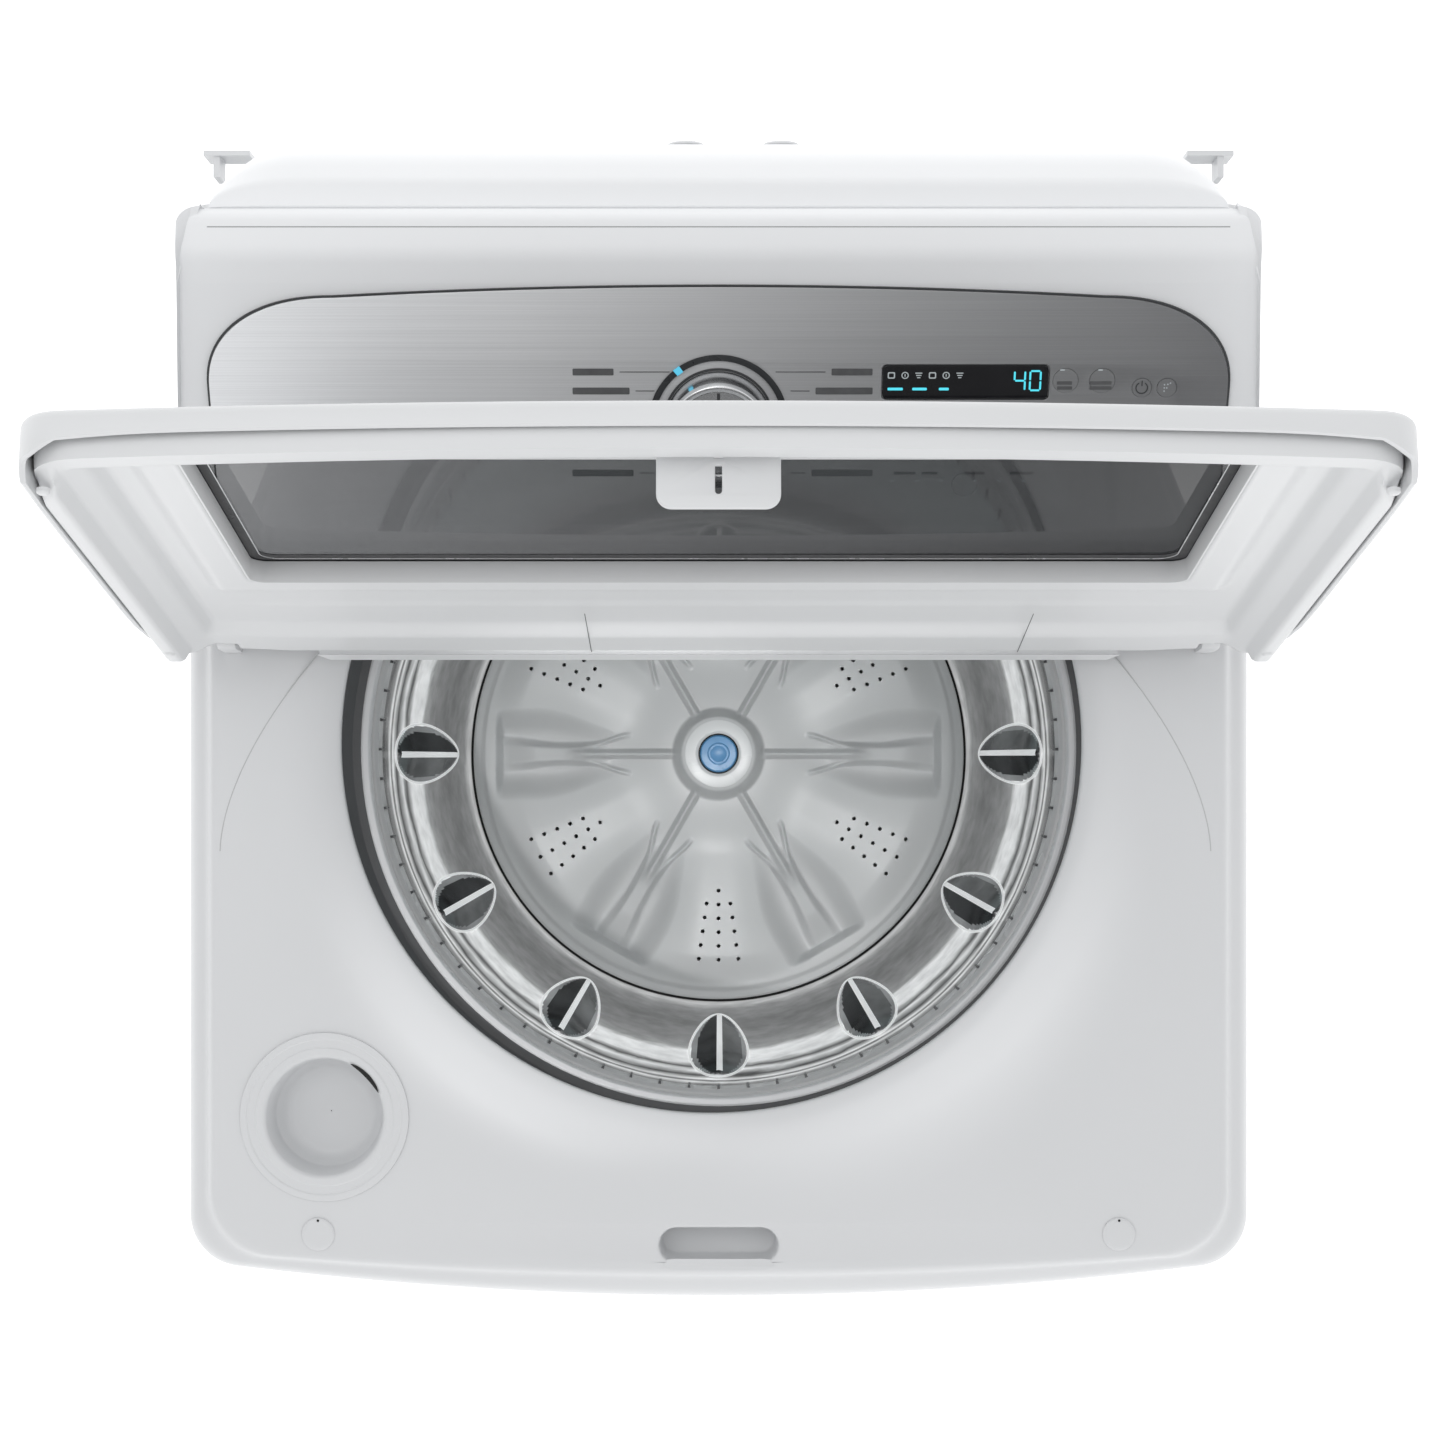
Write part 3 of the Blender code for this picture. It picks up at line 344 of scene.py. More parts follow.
def glass_material():
    m, b = principled("tinted_glass_pane", (0.018, 0.019, 0.021), 0.03, 0.0)
    b.inputs["Alpha"].default_value = 0.50
    b.inputs["Specular IOR Level"].default_value = 0.12
    b.inputs["IOR"].default_value = 1.5
    nt = m.node_tree
    tc = nt.nodes.new("ShaderNodeTexCoord")
    n = nt.nodes.new("ShaderNodeTexNoise")
    n.inputs["Scale"].default_value = 3.0
    nt.links.new(tc.outputs["Object"], n.inputs["Vector"])
    mr = nt.nodes.new("ShaderNodeMapRange")
    mr.inputs["To Min"].default_value = 0.02
    mr.inputs["To Max"].default_value = 0.05
    nt.links.new(n.outputs["Fac"], mr.inputs["Value"])
    nt.links.new(mr.outputs["Result"], b.inputs["Roughness"])
    return m


M["glass"] = glass_material()


# ------------------------------------------------------------------ mesh helpers
def new_object(name, verts, faces, mat, body, node=(), matrix=None, smooth=True, angle=38):
    me = bpy.data.meshes.new(name)
    me.from_pydata([tuple(v) for v in verts], [], [tuple(f) for f in faces])
    me.validate()
    if matrix is not None:
        me.transform(matrix)
    ob = bpy.data.objects.new(name, me)
    return finish_object(ob, mat, body, node, smooth, angle)


def finish_object(ob, mat, body, node=(), smooth=True, angle=38):
    if not ob.users_collection:
        bpy.context.scene.collection.objects.link(ob)
    me = ob.data
    if isinstance(mat, str):
        mat = [mat]
    me.materials.clear()
    for m in mat:
        me.materials.append(M[m])
    if smooth:
        me.shade_smooth()
        me.set_sharp_from_angle(angle=math.radians(angle))
    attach(ob, body)
    node = (node,) if isinstance(node, str) else node
    if node:
        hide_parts(*node)
    return ob


def closed_normals(ob):
    bm = bmesh.new()
    bm.from_mesh(ob.data)
    bmesh.ops.recalc_face_normals(bm, faces=bm.faces)
    if bm.calc_volume(signed=True) < 0:
        bmesh.ops.reverse_faces(bm, faces=bm.faces)
    bm.to_mesh(ob.data)
    bm.free()


def lathe_mesh(profile, steps=128, closed=True, centre=(0, 0), a0=0.0):
    """Rings of a (radius, z) profile; a profile that isn't closed ends on the axis."""
    prof = [tuple(p) for p in profile]
    verts, faces = [], []
    rows = []
    for r, z in prof:
        if r < 1e-7:
            rows.append([len(verts)])
            verts.append((centre[0], centre[1], z))
        else:
            row = []
            for i in range(steps):
                a = a0 + TAU * i / steps
                row.append(len(verts))
                verts.append((centre[0] + r * math.cos(a), centre[1] + r * math.sin(a), z))
            rows.append(row)
    pairs = list(zip(rows, rows[1:])) + ([(rows[-1], rows[0])] if closed else [])
    for a, b in pairs:
        for i in range(steps):
            j = (i + 1) % steps
            if len(a) == 1 and len(b) == 1:
                continue
            if len(a) == 1:
                faces.append((a[0], b[i], b[j]))
            elif len(b) == 1:
                faces.append((a[i], b[0], a[j]))
            else:
                faces.append((a[i], b[i], b[j], a[j]))
    return verts, faces


def rounded_profile(points, n=5):
    """Points (x, y, r): a corner with r > 0 becomes an arc of n steps."""
    out = []
    cnt = len(points)
    for i in range(cnt):
        x, y, r = points[i]
        if r <= 0:
            out.append((x, y))
            continue
        p, a, b = np.array([x, y]), np.array(points[i - 1][:2]), np.array(points[(i + 1) % cnt][:2])
        u, v = a - p, b - p
        lu, lv = np.linalg.norm(u), np.linalg.norm(v)
        u, v = u / lu, v / lv
        ang = math.acos(max(-1, min(1, float(u @ v))))
        if ang > PI - 1e-3:
            out.append((x, y))
            continue
        t = min(r / math.tan(ang / 2), lu * 0.49, lv * 0.49)
        rr = t * math.tan(ang / 2)
        w = u + v
        c = p + w / np.linalg.norm(w) * (rr / math.sin(ang / 2))
        s, e = p + u * t - c, p + v * t - c
        a0, a1 = math.atan2(s[1], s[0]), math.atan2(e[1], e[0])
        d = (a1 - a0 + PI) % TAU - PI
        for k in range(n + 1):
            q = a0 + d * k / n
            out.append((float(c[0] + rr * math.cos(q)), float(c[1] + rr * math.sin(q))))
    return out


def lathe_object(name, points, mat, body, node=(), steps=128, closed=True, centre=(0, 0), n=5, matrix=None, angle=38):
    prof = rounded_profile(points, n) if closed else open_profile(points, n)
    v, f = lathe_mesh(prof, steps, closed, centre)
    ob = new_object(name, v, f, mat, body, node, matrix, angle=angle)
    closed_normals(ob)
    return ob


def open_profile(points, n=5):
    out = []
    for i, (x, y, r) in enumerate(points):
        if i in (0, len(points) - 1) or r <= 0:
            out.append((x, y))
            continue
        out += rounded_profile([points[i - 1][:2] + (0,), (x, y, r), points[i + 1][:2] + (0,)], n)[1:-1]
    return out


def arc(cx, cy, rx, a0, a1, n, ry=None):
    ry = rx if ry is None else ry
    return [(cx + rx * math.cos(math.radians(a0 + (a1 - a0) * i / n)),
             cy + ry * math.sin(math.radians(a0 + (a1 - a0) * i / n))) for i in range(n + 1)]


def bowed(half_w, mid, corner_y, rear, r, rear_r=0.006, inset=0.0, bow_n=40, cn=14, rn=6, side_n=10):
    """Plan outline with a bowed front, rounded front corners and straight sides, counter-clockwise."""
    hw, ry = half_w - inset, rear - inset
    m, c, rr = mid + inset, corner_y + inset, max(r - inset, 0.001)
    q = max(rear_r - inset, 0.0008)
    pts = arc(hw - q, ry - q, q, 0, 90, rn)
    x0, x1 = pts[-1][0], -hw + q
    pts += [(x0 + (x1 - x0) * i / bow_n, ry) for i in range(1, bow_n)]
    pts += arc(-hw + q, ry - q, q, 90, 180, rn)
    y0, y1 = pts[-1][1], c + rr
    pts += [(-hw, y0 + (y1 - y0) * i / side_n) for i in range(1, side_n)]
    left = arc(-hw + rr, c + rr, rr, 180, 263, cn)
    xl, yl = left[-1]
    front = [(xl + (-2 * xl) * i / bow_n, m + (yl - m) * ((xl + (-2 * xl) * i / bow_n) / xl) ** 2)
             for i in range(1, bow_n)]
    right = [(-x, y) for x, y in reversed(left)]
    pts += left + front + right
    y0, y1 = pts[-1][1], ry - q
    pts += [(hw, y0 + (y1 - y0) * i / side_n) for i in range(1, side_n)]
    return pts


def strips(rings, closed_profile=False):
    """Quads between successive rings of the same length. Returns verts and faces."""
    n = len(rings[0])
    verts = [p for ring in rings for p in ring]
    faces = []
    count = len(rings)
    last = count if closed_profile else count - 1
    for k in range(last):
        a, b = k * n, ((k + 1) % count) * n
        for i in range(n):
            j = (i + 1) % n
            faces.append((a + i, a + j, b + j, b + i))
    return verts, faces


def fill(outer, holes, z):
    """A flat face with holes, triangulated. Loops are lists of (x, y). Returns verts and faces."""
    loops = [[Vector((x, y, 0)) for x, y in outer]] + [[Vector((x, y, 0)) for x, y in h] for h in holes]
    tris = geometry.tessellate_polygon(loops)
    verts = [(v.x, v.y, z) for lp in loops for v in lp]
    return verts, [tuple(t) for t in tris]


def merge(parts, tol=1e-5):
    """Joins (verts, faces) lists into one mesh, welding shared points. Returns a bmesh."""
    bm = bmesh.new()
    for verts, faces in parts:
        vs = [bm.verts.new(v) for v in verts]
        for f in faces:
            if len(set(f)) < 3:
                continue
            try:
                bm.faces.new([vs[i] for i in f])
            except ValueError:
                pass
    bmesh.ops.remove_doubles(bm, verts=bm.verts, dist=tol)
    return bm


def bm_object(name, bm, mat, body, node=(), matrix=None, smooth=True, angle=38, recalc=True):
    if recalc:
        bmesh.ops.recalc_face_normals(bm, faces=bm.faces)
    me = bpy.data.meshes.new(name)
    bm.to_mesh(me)
    bm.free()
    if matrix is not None:
        me.transform(matrix)
    ob = bpy.data.objects.new(name, me)
    return finish_object(ob, mat, body, node, smooth, angle)


def slab(name, outline, z0, z1, mat, body, node=(), matrix=None, edge=0.0, seg=3, holes=(), hole_edge=None, angle=30,
         smooth=True):
    """A plate with a rounded upper and lower edge, also round its holes; all loops are (x, y)."""
    parts = []
    steps = [(0.0, 0.0)]
    if edge > 0:
        steps = [(edge * (1 - math.sin(PI / 2 * k / seg)), edge * (1 - math.cos(PI / 2 * k / seg))) for k in range(seg + 1)]
    # steps: (inset, drop) from the vertical wall (inset 0) to the top
    def ring(loop, inset, z, sign=1):
        return [(x, y, z) for x, y in offset_loop(loop, -inset * sign)]

    tops, bots, all_loops = [], [], [outline] + list(holes)
    for li, loop in enumerate(all_loops):
        sign = 1
        rings = []
        for k in range(len(steps)):
            ins, drop = steps[k]
            rings.append(ring(loop, edge - ins if False else edge * (1 - math.cos(PI / 2 * (1 - k / max(seg, 1)))) if edge else 0.0,
                              z1 - (edge * (1 - math.sin(PI / 2 * (1 - k / max(seg, 1)))) if edge else 0.0), sign))
        # rings run from the top face's rim (fully inset) down to the wall
        rings_low = []
        for k in range(len(steps)):
            f = k / max(seg, 1)
            ins = edge * (1 - math.cos(PI / 2 * f)) if edge else 0.0
            drop = edge * (1 - math.sin(PI / 2 * f)) if edge else 0.0
            rings_low.append(ring(loop, ins, z0 + drop, sign))
        allr = rings + rings_low
        parts.append(strips(allr))
        tops.append([(p[0], p[1]) for p in allr[0]])
        bots.append([(p[0], p[1]) for p in allr[-1]])
    parts.append(fill(tops[0], tops[1:], z1))
    parts.append(fill(bots[0], bots[1:], z0))
    bm = merge(parts)
    return bm_object(name, bm, mat, body, node, matrix, smooth, angle)


def signed_area(loop):
    return 0.5 * sum(loop[i][0] * loop[(i + 1) % len(loop)][1] - loop[(i + 1) % len(loop)][0] * loop[i][1]
                     for i in range(len(loop)))


def offset_loop(loop, d):
    """Moves a loop's points along its outward normals; outward is away from the enclosed area for a
    counter-clockwise loop and into the hole's rim for a clockwise one."""
    if abs(d) < 1e-9:
        return list(loop)
    n = len(loop)
    pts = np.array(loop)
    prev = np.roll(pts, 1, 0)
    nxt = np.roll(pts, -1, 0)
    def unit(v):
        length = np.linalg.norm(v, axis=1, keepdims=True)
        return v / np.maximum(length, 1e-12)
    e0, e1 = unit(pts - prev), unit(nxt - pts)
    n0 = np.stack([e0[:, 1], -e0[:, 0]], 1)
    n1 = np.stack([e1[:, 1], -e1[:, 0]], 1)
    b = unit(n0 + n1)
    k = 1.0 / np.maximum((b * n0).sum(1), 0.5)
    return [tuple(p) for p in (pts + b * (d * k)[:, None])]


def rounded_rect(x0, x1, y0, y1, r, n=6):
    return (arc(x1 - r, y1 - r, r, 0, 90, n) + arc(x0 + r, y1 - r, r, 90, 180, n) +
            arc(x0 + r, y0 + r, r, 180, 270, n) + arc(x1 - r, y0 + r, r, 270, 360, n))


def stadium(half_len, r, cx, cy, n=12):
    return arc(cx + half_len - r, cy, r, -90, 90, n) + arc(cx - half_len + r, cy, r, 90, 270, n)


def circle(cx, cy, r, n=48):
    return [(cx + r * math.cos(TAU * i / n), cy + r * math.sin(TAU * i / n)) for i in range(n)]


def dense(loop, step):
    res = []
    for i, p in enumerate(loop):
        q = loop[(i + 1) % len(loop)]
        res.append(p)
        k = int(math.hypot(q[0] - p[0], q[1] - p[1]) / step)
        for j in range(1, k):
            res.append((p[0] + (q[0] - p[0]) * j / k, p[1] + (q[1] - p[1]) * j / k))
    return res


def d_loop(r, rear, n=120, corner=0.012):
    """The loading opening: a circle cut straight at the rear, with rounded corners, counter-clockwise."""
    a = math.degrees(math.asin((rear - OPEN_Y) / r))
    pts = [(OPEN_X + r * math.cos(math.radians(t)), OPEN_Y + r * math.sin(math.radians(t)), 0) for t in
           np.linspace(180 - a + 3, 360 + a - 3, n)]
    x = r * math.cos(math.radians(a))
    loop = [(OPEN_X + x, rear, corner), (OPEN_X - x, rear, corner)] + pts
    out = rounded_profile([(p[0], p[1], p[2]) for p in loop], 8)
    # even spacing along the straight cut
    res = []
    for i, p in enumerate(out):
        q = out[(i + 1) % len(out)]
        res.append(p)
        d = math.hypot(q[0] - p[0], q[1] - p[1])
        k = int(d / 0.012)
        for j in range(1, k):
            res.append((p[0] + (q[0] - p[0]) * j / k, p[1] + (q[1] - p[1]) * j / k))
    return res


def solidify(ob, t, offset=-1):
    s = ob.modifiers.new("wall", "SOLIDIFY")
    s.thickness = t
    s.offset = offset
    s.use_even_offset = False
    return ob


# ------------------------------------------------------------------ top cover (deck)
k_lo, k_hi = lohi("lock_bolt")
LB0, LB1, LBX = float(k_lo[2]), float(k_hi[2]), float(k_hi[0])
POCKET = min(-0.0250, LB0 - 0.0022 - Z_DECK)


def build_deck():
    body_o = bowed(HALF_W, FRONT, -0.352, REAR, 0.034)
    plat = bowed(0.322, -0.350, -0.3395, REAR, 0.042, rear_r=0.006)

    def ring(t, z, push=0.0):
        out = []
        for (ax, ay), (bx, by) in zip(plat, body_o):
            out.append((ax + (bx - ax) * t, ay + (by - ay) * t, z))
        return out
    zs = Z_DECK
    # plateau edge, soft step, sloping ledge, outer roll and skirt
    inner = [(x, y, zs) for x, y in bowed(0.322, -0.350, -0.3395, REAR, 0.042, rear_r=0.006, inset=0.006)]
    prof = [(0.00, zs - 0.0006), (0.10, zs - 0.0022), (0.17, zs - 0.0052), (0.24, zs - 0.0088), (0.32, zs - 0.0112),
            (0.42, zs - 0.0124), (0.56, zs - 0.0136), (0.68, zs - 0.0154), (0.78, zs - 0.0182), (0.86, zs - 0.0216),
            (0.93, zs - 0.0262), (0.975, zs - 0.0315), (1.0, zs - 0.0365), (1.0, Z_SKIRT + 0.0010), (0.985, Z_SKIRT)]
    rings = [inner] + [ring(-0.12, zs - 0.0001)] + [ring(t, z) for t, z in prof]
    outer_strip = strips(rings)

    # funnel round the loading opening
    edge = d_loop(OPEN_R, OPEN_REAR)
    fun = [(0.036, 0.0), (0.029, -0.0004), (0.022, -0.0013), (0.016, -0.0026), (0.011, -0.0042), (0.007, -0.0060),
           (0.0042, -0.0078), (0.0022, -0.0092), (0.0008, -0.0104), (0.0001, -0.0120), (0.0, -0.0155)]
    top_clip = OPEN_REAR + 0.0130
    rings_in = []
    for off, dz in fun:
        r = []
        for (x, y), (ex, ey) in zip(offset_loop(edge, off), edge):
            # the straight rear edge has little room before the console
            k = 1.0
            if y > top_clip:
                y = top_clip
            r.append((x, y, zs + dz))
        rings_in.append(r)
    # inward tongue of the straight rear: points past top_clip are pulled back to it, each ring keeping its own height
    funnel = strips(rings_in)

    cup_hole = circle(CUP[0], CUP[1], 0.0400, 64)[::-1]
    slot_edge = dense(stadium(0.0380, 0.0110, 0.0, -0.333, 14), 0.0012)
    slot_rings = [[(x, y, zs + dz) for x, y in offset_loop(slot_edge, off)] for off, dz in
                  [(0.0022, 0.0), (0.0010, -0.0003), (0.0002, -0.0011), (0.0, -0.0022), (-0.0004, LB1 - zs + 0.0006),
                   (-0.0010, LB0 - zs - 0.0006), (-0.0016, POCKET + 0.0012), (-0.0030, POCKET)]]
    slot_strip = strips(slot_rings)
    slot_n = len(slot_edge)
    keep = []
    for f in slot_strip[1]:
        if min(f) // slot_n == 4:
            xm = sum(slot_strip[0][v][0] for v in f) / 4
            ym = sum(slot_strip[0][v][1] for v in f) / 4
            if ym > -0.333 and abs(xm) < LBX + 0.0012:
                continue
        keep.append(f)
    slot_strip = (slot_strip[0], keep)
    slot_floor = fill([(p[0], p[1]) for p in slot_rings[-1]], [], zs + POCKET)
    top = fill([(p[0], p[1]) for p in inner],
               [[(p[0], p[1]) for p in rings_in[0]][::-1], cup_hole,
                [(p[0], p[1]) for p in slot_rings[0]][::-1]], zs)
    cup_rim = strips([[(x, y, zs) for x, y in cup_hole], [(x, y, zs - 0.003) for x, y in cup_hole]])
    bm = merge([outer_strip, funnel, slot_strip, slot_floor, top, cup_rim])
    bmesh.ops.recalc_face_normals(bm, faces=bm.faces)
    up = sum((1 if f.normal.z > 0 else -1) * f.calc_area() for f in bm.faces if abs(f.normal.z) > 0.9)
    if up < 0:
        bmesh.ops.reverse_faces(bm, faces=bm.faces)
    ob = bm_object("deck_moulding", bm, "white_plastic", "cabinet", "top_cover", angle=60, recalc=False)
    solidify(ob, 0.0022)
    return ob


build_deck()

CREASES = []
for side, sx in (("left", -1), ("right", 1)):
    path = []
    for t in np.linspace(0, 1, 30):
        x = 0.2455 + 0.0700 * (1 - (1 - t) ** 1.7)
        y = 0.0520 - 0.1340 * t
        path.append((sx * x - 0.0020, y, Z_DECK - 0.00018))
    CREASES.append((side, path))

# bleach cup: flange with a plain raised ring, bowl, and the dark slit of its overflow
lathe_object("bleach_cup_moulding",
             [(CUP_R, Z_DECK + 0.0003, 0), (CUP_R, Z_DECK + 0.0013, 0.0007), (0.0500, Z_DECK + 0.0015, 0.001),
              (0.0490, Z_DECK + 0.0009, 0.0005), (0.0445, Z_DECK + 0.0009, 0.0005), (0.0435, Z_DECK + 0.0014, 0.001),
              (0.0375, Z_DECK + 0.0012, 0.0035), (0.0345, 0.9780, 0.006), (0.0285, 0.9690, 0.008), (0.0004, 0.9680, 0),
              (0.0004, 0.9662, 0), (0.0300, 0.9666, 0.006), (0.0375, 0.9780, 0.004), (0.0392, Z_DECK - 0.0008, 0),
              (0.0396, Z_DECK + 0.0003, 0)], "white_plastic", "cabinet", "bleach_cup", steps=96, centre=CUP)
slit = []
for i in range(17):
    a = math.radians(24 + 40 * i / 16)
    w = 0.0013 * math.sin(PI * i / 16) ** 0.6
    slit.append((a, w))
loop = [(CUP[0] + (0.0378 + w) * math.cos(a), CUP[1] + (0.0378 + w) * math.sin(a)) for a, w in slit]
loop += [(CUP[0] + (0.0378 - w) * math.cos(a), CUP[1] + (0.0378 - w) * math.sin(a)) for a, w in slit[-2:0:-1]]
slab("bleach_cup_slit", loop, Z_DECK + 0.0008, Z_DECK + 0.0016, "slit", "cabinet")

for side, sx in (("left", -1), ("right", 1)):
    b_lo, b_hi = lohi("lid_bumper_" + side)
    bc = (float(b_lo[0] + b_hi[0]) / 2, float(b_lo[1] + b_hi[1]) / 2)
    lathe_object("lid_rest_button_" + side,
                 [(0, Z_DECK + 0.0015, 0), (0.0084, Z_DECK + 0.0014, 0.006), (0.0100, Z_DECK + 0.0009, 0.0006),
                  (0.0106, Z_DECK + 0.0003, 0), (0, Z_DECK + 0.0003, 0)],
                 "white_plastic", "cabinet", "lid_bumper_" + side, steps=48, closed=False, centre=bc)
    lathe_object("lid_rest_vent_" + side,
                 [(0, Z_DECK + 0.0018, 0), (0.0008, Z_DECK + 0.0018, 0.0003), (0.0008, Z_DECK + 0.0010, 0), (0, Z_DECK + 0.0010, 0)],
                 "slit", "cabinet", steps=16, closed=False, centre=(bc[0], bc[1] + 0.0088))

# ------------------------------------------------------------------ rings of the tub and the basket
lathe_object("tub_cover_ring",
             [(0.2960, 0.9555, 0), (0.2960, 0.9680, 0.003), (0.2480, 0.9680, 0.004), (0.2430, 0.9600, 0.003),
              (0.2350, 0.9572, 0.001), (0.2320, 0.9578, 0.0018), (0.2288, 0.9568, 0.0018), (0.2282, 0.9520, 0.001),
              (0.2282, 0.9436, 0.001), (0.2310, 0.9434, 0.001), (0.2318, 0.9553, 0.0015), (0.2370, 0.9555, 0)],
             "white_plastic", "tub", "tub_ring", steps=160, centre=(TX, TY))
# dark seal in the groove under the deck's lip; its darkness also stands for the shade in that gap
lathe_object("tub_cover_seal_and_gap_shade",
             [(0.2560, 0.9682, 0), (0.2560, 0.9712, 0.0005), (0.2440, 0.9712, 0.0015), (0.2385, 0.9606, 0.002),
              (0.2332, 0.9588, 0.0006), (0.2334, 0.9576, 0), (0.2400, 0.9592, 0), (0.2470, 0.9690, 0.001)],
             "dark_plastic", "tub", steps=160, centre=(TX, TY))
b_lo, b_hi = lohi("balance_ring")
BZ0, BZ1 = float(b_lo[2]), float(b_hi[2])
lathe_object("balance_ring_moulding",
             [(0.2675, BZ0, 0), (0.2675, BZ1 - 0.006, 0.003), (0.2400, BZ1 - 0.0010, 0.004), (0.2330, BZ1 + 0.0, 0.004),
              (0.2312, BZ1 - 0.0050, 0.0015), (0.2288, BZ1 - 0.0056, 0.0015), (0.2268, BZ1 - 0.0120, 0.003),
              (0.2262, BZ0 + 0.0030, 0.002), (0.2300, BZ0, 0)], "ring_grey", "basket", "balance_ring", steps=192,
             centre=(TX, TY))


def ribs():
    """Low ribs round the inner wall of the balance ring."""
    parts = []
    n = 72
    for i in range(n):
        a = TAU * i / n
        c, s = math.cos(a), math.sin(a)
        vs = []
        for r, w in ((0.2272, 0.0010), (0.2248, 0.0007)):
            for z in (BZ0 + 0.004, BZ1 - 0.013):
                for sg in (-1, 1):
                    vs.append((TX + r * c - sg * w * s, TY + r * s + sg * w * c, z))
        fs = [(0, 1, 3, 2), (4, 6, 7, 5), (0, 4, 5, 1), (2, 3, 7, 6), (0, 2, 6, 4), (1, 5, 7, 3)]
        parts.append((vs, fs))
    bm = bmesh.new()
    for verts, faces in parts:
        vs = [bm.verts.new(v) for v in verts]
        for f in faces:
            bm.faces.new([vs[i] for i in f])
    return bm_object("balance_ring_ribs", bm, "dark_plastic", "basket")


ribs()


# ------------------------------------------------------------------ steel basket
def basket_profile():
    pts = [(0.2655, 0.897, 0), (0.2655, 0.5860, 0.020), (0.2600, 0.5560, 0.018), (0.2085, 0.4880, 0.006),
           (0.2052, 0.4800, 0.002), (0.2052, 0.4640, 0.0)]
    base = open_profile(pts, 10)
    # even steps along the length
    p = np.array(base)
    seg = np.linalg.norm(np.diff(p, axis=0), axis=1)
    s = np.concatenate([[0], np.cumsum(seg)])
    zone = np.concatenate([np.linspace(0, 0.25, 10), np.linspace(0.252, s[-1], 140)])
    return np.stack([np.interp(zone, s, p[:, 0]), np.interp(zone, s, p[:, 1])], 1), zone


